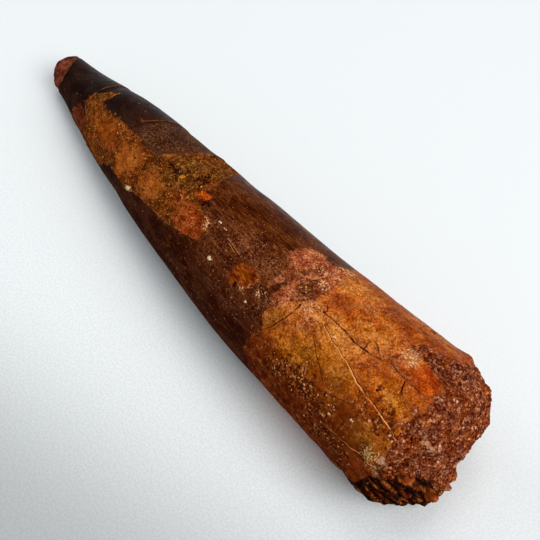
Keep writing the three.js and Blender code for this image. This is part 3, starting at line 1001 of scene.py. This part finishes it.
class Mix:
    """A material mixed in layers, each with a colour, a roughness and a height in mm."""

    def __init__(self, name):
        self.material = bpy.data.materials.new(name)
        self.material.use_nodes = True
        self.tree = self.material.node_tree
        self.shader = self.tree.nodes["Principled BSDF"]
        place = self.add("ShaderNodeTexCoord", {}).outputs["Object"]
        inputs = {"Vector": place, "Scale": (1 / MM,) * 3}
        self.place = self.add("ShaderNodeMapping", inputs).outputs["Vector"]
        self.colour = None
        self.roughness = None
        self.height = None

    def add(self, kind, inputs, **settings):
        node = self.tree.nodes.new(kind)
        for key, value in settings.items():
            setattr(node, key, value)
        for key, value in inputs.items():
            self.plug(value, node.inputs[key])
        return node

    def plug(self, value, socket):
        """Sets or links an input. A name stands for that mark of the surface."""
        if isinstance(value, str):
            value = self.add("ShaderNodeAttribute", {}, attribute_name=value).outputs["Fac"]
        if isinstance(value, bpy.types.NodeSocket):
            self.tree.links.new(value, socket)
        else:
            socket.default_value = paint(*value) if socket.type == "RGBA" else value

    def math(self, operation, a, b=0):
        return self.add("ShaderNodeMath", {0: a, 1: b}, operation=operation).outputs[0]

    def scaled(self, value, factor, plus):
        inputs = {0: value, 1: factor, 2: plus}
        return self.add("ShaderNodeMath", inputs, operation="MULTIPLY_ADD").outputs[0]

    def product(self, first, *others):
        for other in others:
            first = self.math("MULTIPLY", first, other)
        return first

    def rise(self, value, low, high, bottom=0, top=1):
        """Goes smoothly from bottom to top as the value goes from low to high."""
        inputs = {"Value": value, "From Min": low, "From Max": high, "To Min": bottom, "To Max": top}
        node = self.add("ShaderNodeMapRange", inputs, interpolation_type="SMOOTHSTEP")
        return node.outputs["Result"]

    def fall(self, value, low, high):
        return self.rise(value, low, high, 1, 0)

    def band(self, value, low, start, end, high):
        """Rises from 0 to 1 between low and start, and falls again between end and high."""
        return self.product(self.rise(value, low, start), self.fall(value, end, high))

    def rim(self, mark, low, high):
        """1 on the edge of a patch, and 0 away from it on both sides."""
        return self.fall(self.math("ABSOLUTE", mark), low, high)

    def place_for(self, stretch, shift):
        inputs = {"Vector": self.place, "Location": (shift, 0.7 * shift, -shift), "Scale": stretch}
        return self.add("ShaderNodeMapping", inputs).outputs["Vector"]

    def noise(self, size, detail=2, stretch=EVEN, shift=0):
        """Cloudy noise around 0.5, with lumps of the size in millimetres."""
        inputs = {"Vector": self.place_for(stretch, shift), "Scale": 1 / size, "Detail": detail}
        return self.add("ShaderNodeTexNoise", inputs).outputs["Fac"]

    def layered(self, size, detail, shift):
        """Noise in thin split layers, as the surface has at the torn root end."""
        along_layers = 1 / LAYER_SQUASH
        inputs = {
            "Vector": self.place,
            "Location": (shift,) * 3,
            "Rotation": Vector(ACROSS_LAYERS).to_track_quat("Z", "Y").to_euler(),
            "Scale": (along_layers, along_layers, 1),
        }
        place = self.add("ShaderNodeMapping", inputs, vector_type="TEXTURE").outputs["Vector"]
        inputs = {"Vector": place, "Scale": 1 / size, "Detail": detail}
        return self.add("ShaderNodeTexNoise", inputs).outputs["Fac"]

    def clouds(self, size, detail=2, stretch=EVEN, shift=0):
        """The same noise with more contrast, from 0 to 1."""
        return self.rise(self.noise(size, detail, stretch, shift), 0.33, 0.67)

    def patchy(self, size, detail, shift, low, high, bottom=0, top=1):
        """The same noise with the contrast given."""
        return self.rise(self.noise(size, detail, shift=shift), low, high, bottom, top)

    def bumps(self, size, detail, height, shift=0):
        return self.product(self.noise(size, detail, shift=shift), height)

    def cells(self, size, shift):
        """Packed cells: the distance from each cell's middle, and its own random number."""
        inputs = {"Vector": self.place_for(EVEN, shift), "Scale": 1 / size}
        node = self.add("ShaderNodeTexVoronoi", inputs)
        ragged = self.scaled(self.noise(0.7 * size, 1, shift=shift), 0.8, -0.4)
        number = self.add("ShaderNodeSeparateColor", {0: node.outputs["Color"]}).outputs[0]
        return self.math("ADD", node.outputs["Distance"], ragged), number

    def veins(self, size, detail, width, shift):
        """Thin wandering lines; the width is a share of the size."""
        level = self.math("ABSOLUTE", self.scaled(self.noise(size, detail, shift=shift), 1, -0.5))
        return self.fall(level, 0.3 * width, width)

    def blend(self, share, a, b):
        inputs = {"Factor": share, 6: a, 7: b}
        return self.add("ShaderNodeMix", inputs, data_type="RGBA").outputs[2]

    def between(self, share, a, b):
        inputs = {0: share, 2: a, 3: b}
        return self.add("ShaderNodeMix", inputs, data_type="FLOAT").outputs[0]

    def shaded(self, colour, value, low, high):
        """The colour made darker or lighter, as the value goes from 0 to 1.

        Where it is darker it is also redder and purer, and where it is lighter, paler.
        """
        share = self.rise(value, 0, 1)
        steps = math.log2(low), math.log2(high / low)
        inputs = {
            "Color": colour,
            "Value": self.scaled(share, high - low, low),
            "Hue": self.scaled(share, HUE_PER_STOP * steps[1], 0.5 + HUE_PER_STOP * steps[0]),
            "Saturation": self.scaled(share, -PALER_PER_STOP * steps[1], 1 - PALER_PER_STOP * steps[0]),
        }
        return self.add("ShaderNodeHueSaturation", inputs).outputs["Color"]

    def tint(self, tone, colour, *shares):
        """Blends a colour in, by the product of the shares."""
        return self.blend(self.product(*shares), tone, colour)

    def dots(self, tone, colour, strength, size, chance, shift):
        """Scattered small dots; the chance of one in a cell may be a socket, from 0 to 1."""
        far, number = self.cells(size, shift)
        chosen = self.math("LESS_THAN", number, chance)
        dot = self.math("MULTIPLY", self.fall(far, 0.2, 0.5), chosen)
        return self.tint(tone, colour, dot, strength)

    def mottled(self, tone, dark, light, size, detail, shift, stretch=EVEN):
        return self.shaded(tone, self.clouds(size, detail, stretch, shift), dark, light)

    def ramp(self, value, stops):
        """Colours along a value: stops are (value, colour), in rising order."""
        node = self.add("ShaderNodeValToRGB", {"Fac": value})
        elements = node.color_ramp.elements
        while len(elements) < len(stops):
            elements.new(1)
        for element, (position, colour) in zip(elements, stops):
            element.position = position
            element.color = paint(*colour)
        return node.outputs["Color"]

    def inside(self, mark, ragged=0.25, soft=0.06, size=0.6):
        """1 inside a patch and 0 outside it, with a ragged edge."""
        jitter = self.scaled(self.noise(size, 4, shift=31), 2 * ragged, -ragged)
        return self.rise(self.math("ADD", mark, jitter), -soft, soft)

    def lay(self, share, colour, roughness, height=None):
        """Puts a layer over what is there, where the share is above 0."""
        if self.colour is None:
            self.colour, self.roughness, self.height = colour, roughness, height
            return
        self.colour = self.blend(share, self.colour, colour)
        self.roughness = self.between(share, self.roughness, roughness)
        if height is not None:
            self.height = self.between(share, self.height, height)

    def done(self, specular):
        """The finished material, with a constant specular level."""
        bump = self.add("ShaderNodeBump", {"Height": self.height, "Distance": MM, "Strength": 1})
        self.plug(self.colour, self.shader.inputs["Base Color"])
        self.plug(self.roughness, self.shader.inputs["Roughness"])
        self.plug(bump.outputs["Normal"], self.shader.inputs["Normal"])
        self.shader.inputs["Specular IOR Level"].default_value = specular
        return self.material


def lay_enamel(mix):
    """Dark polished enamel, near black at the tip and brown towards the middle."""
    wander = mix.scaled(mix.noise(6, 2), 0.05, -0.025)
    tone = mix.ramp(mix.math("ADD", mix.math("DIVIDE", "along", LENGTH), wander), [
        (0, (34, 16, 10)), (0.14, (31, 14, 8)), (0.26, (40, 18, 10)), (0.29, (60, 29, 15)),
        (0.38, (72, 34, 15)), (0.46, (70, 30, 8)), (0.5, (70, 28, 5)), (0.62, (77, 31, 4)),
        (0.69, (76, 30, 3)), (0.75, (76, 27, 2)),
    ])
    golden = mix.mottled((88, 41, 9), 0.8, 1.2, 3, 2, 0)
    tone = mix.tint(tone, golden, mix.rise("side", 0.35, -0.25), mix.rise("along", 56, 64), 0.3)
    # Painted shade darkens the low -Y side, and a painted greyish reflection is tinted over it.
    tone = mix.shaded(tone, mix.rise("side", 0.55, 0.95), 1, 0.6)
    tone = mix.tint(tone, (64, 36, 25), mix.rise("side", 0.5, 0.8), 0.3)
    middle = mix.rise("along", 48, 60)
    streaky = mix.product(middle, mix.rise("side", 0.75, 0.35, 0.35, 1))
    streaked = mix.mottled(tone, 0.56, 1.44, 0.3, 4, 3, (0.08, 1, 1))
    tone = mix.blend(streaky, tone, streaked)
    tone = mix.mottled(tone, 0.66, 1.34, 2.6, 5, 4, (0.5, 1, 1))
    tone = mix.mottled(tone, 0.64, 1.38, 0.22, 3, 5)
    thread = mix.rise(mix.noise(0.2, 2, (0.06, 1, 1), 6), 0.6, 0.7)
    tone = mix.tint(tone, (140, 76, 32), thread, middle, 0.55)
    dust = mix.product("dust", middle)
    dusty = mix.rise(mix.noise(0.45, 5, (0.8, 1, 1), 10), 0.5, 0.6)
    tone = mix.tint(tone, (124, 68, 42), dust, dusty, 0.2)
    tone = mix.tint(tone, (176, 108, 72), mix.veins(0.9, 3, 0.045, 13), dust, 0.4)
    chance = mix.product(mix.scaled(dust, 0.14, 0.012), middle)
    tone = mix.dots(tone, (206, 148, 112), 0.6, 0.24, chance, 9)
    height = mix.product(mix.noise(0.5, 4, (0.15, 1, 1), 3), 0.06)
    height = mix.math("ADD", height, mix.bumps(0.2, 3, 0.04))
    roughness = mix.patchy(1.6, 3, 7, 0.3, 0.7, 0.26, 0.42)
    mix.lay(1, tone, roughness, height)

    rough = mix.ramp(mix.noise(0.38, 3, shift=8), [
        (0.34, (36, 16, 8)), (0.48, (72, 38, 20)), (0.58, (94, 56, 32)), (0.7, (130, 86, 54)),
    ])
    rough = mix.mottled(rough, 0.7, 1.2, 3, 4, 8)
    share = mix.product(mix.inside("rough", 0.7, 0.9, 1.2), 0.9)
    mix.lay(share, rough, 0.55, mix.bumps(0.4, 4, 0.12))


def lay_amber(mix):
    """Honey-coloured enamel over the root half, mottled and a little granular."""
    tone = mix.ramp(mix.clouds(5, 3, (0.6, 1, 1), 11), [
        (0, (138, 55, 4)), (0.4, (172, 80, 12)), (0.7, (182, 95, 23)), (1, (194, 114, 44)),
    ])
    tone = mix.tint(tone, mix.mottled((154, 98, 12), 0.8, 1.2, 1.6, 3, 0), "olive", 0.85)
    tone = mix.mottled(tone, 0.76, 1.2, 1.5, 6, 13)
    tone = mix.mottled(tone, 0.66, 1.34, 0.3, 4, 15)
    # Painted shade: the amber turns deep brown where the darker places lie, low on the -Y side.
    deep = mix.mottled((104, 40, 1), 0.66, 1.3, 0.9, 5, 8)
    tone = mix.tint(tone, deep, "dusk", 0.95)
    # Painted highlight: a paler, duller tone along the +Y edge of the amber.
    sheen_side = mix.rise("side", -0.45, -0.8)
    sheen_tone = mix.ramp(mix.clouds(3.4, 5, (0.6, 1, 1), 49), [
        (0, (128, 56, 14)), (0.4, (160, 82, 38)), (0.7, (174, 98, 56)), (1, (186, 112, 66)),
    ])
    sheen_tone = mix.mottled(sheen_tone, 0.78, 1.2, 0.35, 4, 50)
    tone = mix.tint(tone, sheen_tone, sheen_side, 0.7)
    # Painted shade: the amber darkens further low on the -Y side.
    low = mix.mottled((102, 36, 0), 0.6, 1.3, 1.5, 6, 13)
    tone = mix.tint(tone, low, mix.rise("side", 0.7, 0.97))
    tone = mix.tint(tone, (112, 40, 8), mix.patchy(0.9, 6, 14, 0.56, 0.62), 0.65)
    tone = mix.tint(tone, (216, 138, 74), mix.patchy(1, 6, 12, 0.6, 0.68), 0.32)
    reddened = mix.product(mix.rise("crust", -5, -0.5), mix.clouds(1.6, 4, shift=10))
    tone = mix.tint(tone, mix.mottled((150, 62, 26), 0.7, 1.3, 0.5, 4, 9), reddened, 0.8)
    tone = mix.dots(tone, (104, 34, 12), 0.8, 0.5, mix.scaled(reddened, 0.3, 0), 10)
    tone = mix.dots(tone, (206, 140, 100), 0.7, 0.4, mix.scaled(reddened, 0.25, 0), 11)
    tone = mix.dots(tone, (96, 28, 6), 0.75, 0.42, 0.1, 16)
    dusty = mix.patchy(0.45, 5, 18, 0.48, 0.6)
    tone = mix.tint(tone, (214, 136, 84), "dust", dusty, 0.55)
    tone = mix.tint(tone, (228, 156, 96), mix.veins(1.6, 3, 0.035, 18), mix.scaled("dust", 0.75, 0.05))
    tone = mix.dots(tone, (238, 178, 128), 0.6, 0.26, mix.scaled("dust", 0.25, 0.02), 19)
    roughness = mix.patchy(1.1, 3, 17, 0.3, 0.7, 0.36, 0.56)
    height = mix.bumps(0.8, 7, 0.24, 13)
    mix.lay(mix.inside("amber", 0.6, 0.2, 1.1), tone, roughness, height)


def sand_tone(mix, number):
    """Sand colours for a random number per grain."""
    return mix.ramp(number, [
        (0, (54, 24, 9)), (0.35, (100, 50, 18)), (0.65, (140, 76, 26)), (0.92, (172, 104, 42)),
        (1, (210, 152, 88)),
    ])


def lay_sand(mix):
    """Sandy rock in the hollow where enamel has flaked off, with smoother ochre places."""
    tone = mix.ramp(mix.clouds(3.4, 4, shift=23), [
        (0, (106, 54, 18)), (0.4, (130, 68, 22)), (0.75, (146, 78, 24)), (1, (148, 62, 24)),
    ])
    olive = mix.ramp(mix.clouds(0.9, 5, shift=29), [
        (0, (52, 30, 9)), (0.5, (96, 58, 18)), (1, (138, 86, 32)),
    ])
    tone = mix.tint(tone, olive, "olive")
    tone = mix.mottled(tone, 0.64, 1.28, 1.1, 5, 24)
    tone = mix.mottled(tone, 0.6, 1.34, 0.3, 3, 30)
    zone = mix.math("ADD", "dusk", mix.patchy(2.2, 3, 22, 0.4, 0.64))
    zone = mix.math("MINIMUM", zone, 1)
    tone = mix.dots(tone, (42, 17, 6), 0.9, 0.32, mix.scaled(zone, 0.6, 0.08), 21)
    tone = mix.dots(tone, (204, 134, 66), 0.75, 0.32, mix.scaled(zone, 0.16, 0.02), 20)
    tone = mix.dots(tone, (200, 108, 62), 0.6, 0.6, 0.06, 32)
    tone = mix.shaded(tone, "dusk", 1, 0.66)
    height = mix.bumps(0.5, 5, 0.22)
    mix.lay(mix.inside("sandy", 0.9, 0.3, 0.8), tone, 0.72, height)
    ochre = mix.ramp(mix.clouds(1.8, 4, shift=26), [
        (0, (124, 56, 18)), (0.5, (158, 82, 26)), (1, (176, 98, 38)),
    ])
    ochre = mix.mottled(ochre, 0.7, 1.26, 0.34, 4, 27)
    ochre = mix.shaded(ochre, mix.rise("along", 33, 43), 0.78, 1)
    ochre = mix.dots(ochre, (66, 26, 9), 0.7, 0.28, 0.09, 25)
    ochre = mix.dots(ochre, (220, 140, 74), 0.5, 0.3, 0.06, 26)
    smooth_height = mix.bumps(0.5, 3, 0.08, 27)
    share = mix.product(mix.inside("ochre", 2.2, 0.9, 1.2), mix.inside("sandy", 0.2))
    mix.lay(share, ochre, 0.6, smooth_height)
    rim = mix.rim("sandy", 0.03, 0.16)
    rim = mix.product(rim, mix.patchy(1.6, 3, 28, 0.5, 0.62), 0.35)
    mix.lay(rim, (160, 104, 56), 0.7)


def lay_patches(mix):
    """Bare dentine in its three colours, pink matrix, grime, chalk and the small spots."""
    fine = mix.clouds(0.34, 4, shift=35)
    cloudy = mix.clouds(1.8, 4, shift=36)
    bumps = mix.bumps(0.4, 4, 0.14, 35)
    near_tip = mix.rise("along", 30, 40)
    red = mix.blend(near_tip, (104, 46, 24), (148, 66, 26))
    red = mix.shaded(mix.shaded(red, fine, 0.62, 1.36), cloudy, 0.62, 1.26)
    mix.lay(mix.inside("red", 2, 0.3, 1.6), red, 0.6, bumps)
    brown = mix.ramp(cloudy, [(0, (104, 36, 12)), (0.5, (126, 56, 10)), (1, (150, 74, 18))])
    brown = mix.mottled(brown, 0.52, 1.36, 0.34, 4, 38, (0.2, 1, 1))
    mix.lay(mix.inside("brown", 1.4, 0.3, 0.8), brown, 0.5, bumps)
    rim = mix.rim("brown", 0.1, 0.6)
    broken = mix.patchy(0.5, 4, 38, 0.46, 0.58)
    rim = mix.product(rim, broken, mix.rise("along", 77.6, 79.4, 0.15, 0.8))
    mix.lay(rim, mix.shaded((160, 80, 42), fine, 0.5, 1.4), 0.6, bumps)
    pink = mix.ramp(cloudy, [(0, (138, 60, 30)), (0.5, (170, 86, 48)), (1, (196, 116, 72))])
    pink = mix.shaded(pink, fine, 0.58, 1.4)
    pink = mix.dots(pink, (246, 200, 160), 0.8, 0.26, 0.18, 33)
    pink = mix.dots(pink, (100, 42, 18), 0.8, 0.36, 0.2, 34)
    share = mix.product(mix.inside("pink", 1.7, 0.7, 0.9), 0.95)
    mix.lay(share, pink, 0.72, bumps)
    orange = mix.ramp(cloudy, [(0, (138, 46, 10)), (0.5, (182, 76, 16)), (1, (206, 98, 26))])
    faded = mix.rise("along", 109, 113, 0.35, 1)
    faded = mix.math("MAXIMUM", faded, mix.fall("along", 70, 80))
    share = mix.product(mix.inside("orange", 0.9, 0.14, 0.6), faded)
    mix.lay(share, mix.shaded(orange, fine, 0.7, 1.24), 0.5, bumps)
    far, number = mix.cells(0.42, shift=37)
    grime = mix.ramp(number, [
        (0, (44, 12, 4)), (0.5, (88, 32, 9)), (0.78, (134, 60, 20)), (0.92, (190, 112, 60)),
        (1, (230, 172, 124)),
    ])
    # Painted light and shade on each crumb: lighter in its middle, darker towards its edge.
    grime = mix.shaded(grime, mix.rise(far, 0.2, 0.8), 1.2, 0.55)
    broken = mix.patchy(0.9, 4, 0, 0.3, 0.7, -0.5, 0.5)
    share = mix.rise(mix.math("ADD", "grime", broken), 0.35, 0.7)
    mix.lay(mix.product(share, 0.88), grime, 0.7, bumps)
    chalk = mix.ramp(fine, [(0.1, (150, 84, 44)), (0.5, (196, 128, 76)), (0.95, (228, 176, 126))])
    low = mix.ramp(fine, [(0.1, (112, 70, 20)), (0.9, (200, 160, 92))])
    chalk = mix.tint(chalk, low, mix.rise("side", 0.75, 0.88))
    share = mix.math("ADD", "chalk", mix.rise(fine, 0, 1, -0.5, 0.4))
    mix.lay(mix.rise(share, 0.4, 0.85), chalk, 0.8, bumps)
    rugged = mix.patchy(0.35, 3, 39, 0.3, 0.7, -0.35, 0.35)
    for mark, tone in {"yellow": (212, 138, 30), "white": (224, 190, 150), "pit": (46, 13, 5)}.items():
        share = mix.rise(mix.math("ADD", mark, rugged), 0.44, 0.56)
        mix.lay(share, mix.shaded(tone, fine, 0.8, 1.15), 0.7)


def crust_tone(mix, number):
    """Sandstone colours for a random number per grain, warmer and cooler in places, with sparse pale
    dots that are painted glints.
    """
    warm = mix.ramp(number, [
        (0, (72, 20, 3)), (0.3, (114, 45, 12)), (0.7, (152, 75, 30)), (0.92, (180, 106, 56)),
        (1, (206, 142, 94)),
    ])
    cool = mix.ramp(number, [
        (0, (70, 25, 10)), (0.3, (108, 50, 28)), (0.7, (142, 78, 50)), (0.92, (170, 110, 78)),
        (1, (204, 156, 124)),
    ])
    tone = mix.blend(mix.clouds(2.2, 5, shift=43), warm, cool)
    # Painted glints: sparse pale dots, in the crust and its grains.
    tone = mix.dots(tone, (222, 174, 144), 0.55, 0.4, 0.03, 40)
    return mix.mottled(tone, 0.66, 1.28, 1.8, 5, 44)


def lay_crust(mix):
    """Dark red sandstone between the loose grains, darkened by painted shade in the gaps between its
    own packed grains, and the torn ridges and splinters low down, with painted shade in their grooves.
    """
    far, number = mix.cells(0.4, shift=41)
    # Painted shade: the tone darkens away from each packed grain's middle, into the gaps.
    tone = mix.shaded(crust_tone(mix, number), mix.rise(far, 0.2, 0.85), 1, 0.6)
    height = mix.product(mix.fall(far, 0.1, 0.8), 0.1)
    height = mix.math("ADD", height, mix.bumps(0.8, 4, 0.25))
    chalky = mix.product(mix.rise("chalk", 0.2, 0.7), mix.rise(number, 0.4, 0.5), 0.9)
    tone = mix.tint(tone, (208, 154, 118), chalky)
    mix.lay(mix.inside("crust", 2.8, 0.6, 1.4), tone, 0.72, height)
    # Painted shade: the ridges turn near black where their relief is low, in the grooves between them.
    torn = mix.layered(0.7, 5, 45)
    ridges = mix.ramp(torn, [
        (0.4, (14, 5, 2)), (0.5, (44, 17, 6)), (0.58, (92, 40, 13)), (0.68, (150, 80, 32)),
    ])
    ridges = mix.dots(ridges, (116, 54, 17), 0.85, 0.7, 0.3, 47)
    ridges = mix.mottled(ridges, 0.5, 1.4, 0.35, 3, 47)
    ridges = mix.mottled(ridges, 0.5, 1.2, 2.6, 3, 46)
    share = mix.rise("splinter", 0.2, 0.7)
    mix.lay(share, ridges, 0.66, mix.product(torn, 0.6))
    # Painted shade: a near-black band in the groove around each long splinter.
    groove = mix.product(mix.band("shard", -0.8, -0.3, -0.1, 0.1), 0.9)
    mix.lay(groove, (24, 9, 4), 0.7)
    shard = mix.ramp(mix.layered(0.9, 5, 48), [
        (0.36, (70, 26, 8)), (0.5, (130, 56, 18)), (0.64, (186, 98, 42)),
    ])
    mix.lay(mix.inside("shard", 0.3, 0.15, 0.8), shard, 0.6, mix.product(torn, 0.4))


def lay_cracks(mix):
    """The bare stub at the tip, the ledges' pale edges, and the cracks."""
    stub = mix.ramp(mix.clouds(1.4, 5, shift=51), [
        (0, (56, 20, 14)), (0.5, (102, 46, 32)), (1, (136, 70, 44)),
    ])
    bumps = mix.bumps(0.6, 3, 0.2, 51)
    mix.lay(mix.inside("stub", 0.3), stub, 0.5, bumps)
    rim = mix.rim("stub", 0.04, 0.15)
    rim = mix.product(rim, mix.clouds(0.8, 2, shift=52), 0.5)
    mix.lay(rim, (148, 98, 60), 0.5)
    worn = mix.patchy(1.6, 3, 0, 0.4, 0.62, 0.1, 0.7)
    mix.lay(mix.product(mix.band("ledge", -0.2, -0.08, 0, 0.1), worn), (122, 74, 40), 0.6)
    mix.lay(mix.product(mix.band("ledge", 0, 0.1, 0.2, 0.5), 0.5), (34, 16, 9), 0.6)
    worn = mix.patchy(3, 2, 54, 0.38, 0.56, 0.3, 1)
    paleness = mix.rise("pale_crack", 0, 1), mix.rise("pale_crack", 1, 2, 1, 0.45)
    mix.lay(mix.product(mix.band("crack", 0.1, 0.6, 1.8, 3), *paleness, worn), (238, 156, 88), 0.6)
    worn = mix.patchy(1.5, 2, 53, 0.35, 0.6, 0.4, 1)
    open_crack = mix.product(mix.fall("crack", 0.8, 1.8), mix.fall("pale_crack", 0.2, 1))
    mix.lay(mix.product(open_crack, worn), (62, 16, 4), 0.8)


def fossil_material():
    mix = Mix("fossil_surface")
    lay_enamel(mix)
    lay_amber(mix)
    lay_sand(mix)
    lay_patches(mix)
    lay_crust(mix)
    lay_cracks(mix)
    # Dirt dulls the low side.
    mix.roughness = mix.between(mix.rise("side", 0.1, 0.6), mix.roughness, 0.95)
    return mix.done(specular=0.015)


def grain_material(name, tone_of, roughness):
    mix = Mix(name)
    tone = tone_of(mix, "grain")
    tone = mix.blend(mix.rise("chalk", 0.3, 1), tone, (200, 148, 106))
    tone = mix.shaded(tone, mix.clouds(0.3, 2), 0.8, 1.15)
    height = mix.bumps(0.12, 2, 0.05)
    mix.lay(1, tone, mix.patchy(0.4, 2, 0, 0.3, 0.7, *roughness), height)
    return mix.done(specular=0.02)


# ---------------------------------------------------------------- building the tooth

points, triangles, marks = build_surface()
skin = (into_frame(points), triangles, marks)
make_piece("tooth_surface", *skin, fossil_material(), True)

crust_share = smooth(marks["crust"], 0, 0.6) * (1 - smooth(marks["splinter"], 0.15, 0.5))
make_grains(
    "crust_grains", skin, crust_share, spacing=0.4, tries=50000, radius=(0.1, 0.34),
    sink=(-0.8, -0.1), material=grain_material("crust_grain", crust_tone, (0.4, 0.65)), seed=61,
)
bed = smooth(marks["sandy"], 0.1, 0.5) * (1 - smooth(marks["ochre"], -0.3, 0.4))
spots = 0.25 * marks["chalk"] ** 2 + 0.7 * marks["grime"] ** 2
sand_share = bed * (0.1 + 0.6 * marks["dusk"]) + 0.1 * smooth(marks["pink"], 0, 0.5) + spots
sand_share *= 1 - smooth(marks["crust"], -0.2, 0.2)
make_grains(
    "sand_grains", skin, sand_share, spacing=0.4, tries=2600, radius=(0.08, 0.22),
    sink=(-0.7, 0), material=grain_material("sand_grain", sand_tone, (0.45, 0.7)), seed=71,
)

# ---------------------------------------------------------------- stage, light and camera


FLOOR_HALF_WIDTH = 1.2
FLOOR_GAP = 0.02 * MM
TOWARDS_SHADE = (0.367, -0.929, 0)
TOWARDS_WINDOW = (0.81, -0.58, 0)

# Square lights: (place, width, power, colour).
LIGHTS = {
    "key": ((1.17, 0.206, 1.187), 1.15, 24, (1, 0.975, 0.95)),
    "top": ((-0.16, 0.28, 1.5), 0.7, 5, (1, 0.98, 0.96)),
    "fill": ((-1.35, -0.35, 0.8), 0.7, 6, (1, 0.98, 0.96)),
}
LIGHT_TARGET = (0, 0, 0.01)

CAMERA_TARGET = (9.88 * MM, 1.8 * MM, 7.7 * MM)
CAMERA_AZIMUTH = math.radians(54.28)
CAMERA_ELEVATION = math.radians(54)
CAMERA_DISTANCE = 198.31 * MM
CAMERA_LENS = 72.19


def make_floor():
    """A wide pale sheet just under the tooth, with painted shade that darkens it towards its -Y, +X
    end.
    """
    half = FLOOR_HALF_WIDTH
    mesh = bpy.data.meshes.new("floor")
    corners = [(-half, -half), (half, -half), (half, half), (-half, half)]
    mesh.from_pydata([(x, y, -FLOOR_GAP) for x, y in corners], [], [(0, 1, 2, 3)])
    mix = Mix("floor_sheet")
    inputs = {0: mix.place, 1: TOWARDS_SHADE}
    towards = mix.add("ShaderNodeVectorMath", inputs, operation="DOT_PRODUCT").outputs["Value"]
    # Painted shade: the sheet darkens towards its -Y, +X end.
    tone = mix.shaded((237, 241, 243), mix.rise(towards, 12, 79), 1, 0.5)
    tone = mix.tint(tone, mix.mottled(tone, 0.93, 1.03, 0.4, 3, 0), mix.rise(towards, -40, 40))
    mix.lay(1, tone, 0.6, mix.bumps(0.6, 3, 0.02))
    mesh.materials.append(mix.done(specular=0.3))
    floor = bpy.data.objects.new("floor", mesh)
    bpy.context.scene.collection.objects.link(floor)


def aim(thing, place, target):
    thing.location = place
    thing.rotation_euler = (Vector(target) - Vector(place)).to_track_quat("-Z", "Y").to_euler()


def make_light(name, place, size, power, colour):
    light = bpy.data.lights.new(name, "AREA")
    light.shape = "SQUARE"
    light.size = size
    light.energy = power
    light.color = colour
    lamp = bpy.data.objects.new(name, light)
    bpy.context.scene.collection.objects.link(lamp)
    aim(lamp, place, LIGHT_TARGET)


def make_world(dim, bright):
    """A pale room, brighter on the side that the window is on."""
    world = bpy.data.worlds.new("studio")
    world.use_nodes = True
    nodes, links = world.node_tree.nodes, world.node_tree.links
    direction = nodes.new("ShaderNodeTexCoord").outputs["Generated"]
    facing = nodes.new("ShaderNodeVectorMath")
    facing.operation = "DOT_PRODUCT"
    facing.inputs[1].default_value = TOWARDS_WINDOW
    links.new(direction, facing.inputs[0])
    strength = nodes.new("ShaderNodeMapRange")
    strength.interpolation_type = "SMOOTHSTEP"
    for name, value in {"From Min": -0.7, "From Max": 0.7, "To Min": dim, "To Max": bright}.items():
        strength.inputs[name].default_value = value
    links.new(facing.outputs["Value"], strength.inputs["Value"])
    background = nodes["Background"]
    background.inputs["Color"].default_value = (0.84, 0.94, 1, 1)
    links.new(strength.outputs["Result"], background.inputs["Strength"])
    bpy.context.scene.world = world


def make_camera():
    camera_data = bpy.data.cameras.new("camera")
    camera_data.lens = CAMERA_LENS
    camera_data.clip_start = 0.01
    camera = bpy.data.objects.new("camera", camera_data)
    bpy.context.scene.collection.objects.link(camera)
    flat = math.cos(CAMERA_ELEVATION)
    back = (
        math.sin(CAMERA_AZIMUTH) * flat,
        -math.cos(CAMERA_AZIMUTH) * flat,
        math.sin(CAMERA_ELEVATION),
    )
    place = [CAMERA_TARGET[k] + CAMERA_DISTANCE * back[k] for k in range(3)]
    aim(camera, place, CAMERA_TARGET)
    bpy.context.scene.camera = camera


make_floor()
make_world(dim=0.22, bright=0.36)
for light_name, settings in LIGHTS.items():
    make_light(light_name, *settings)
make_camera()
bpy.context.scene.view_settings.view_transform = "Standard"
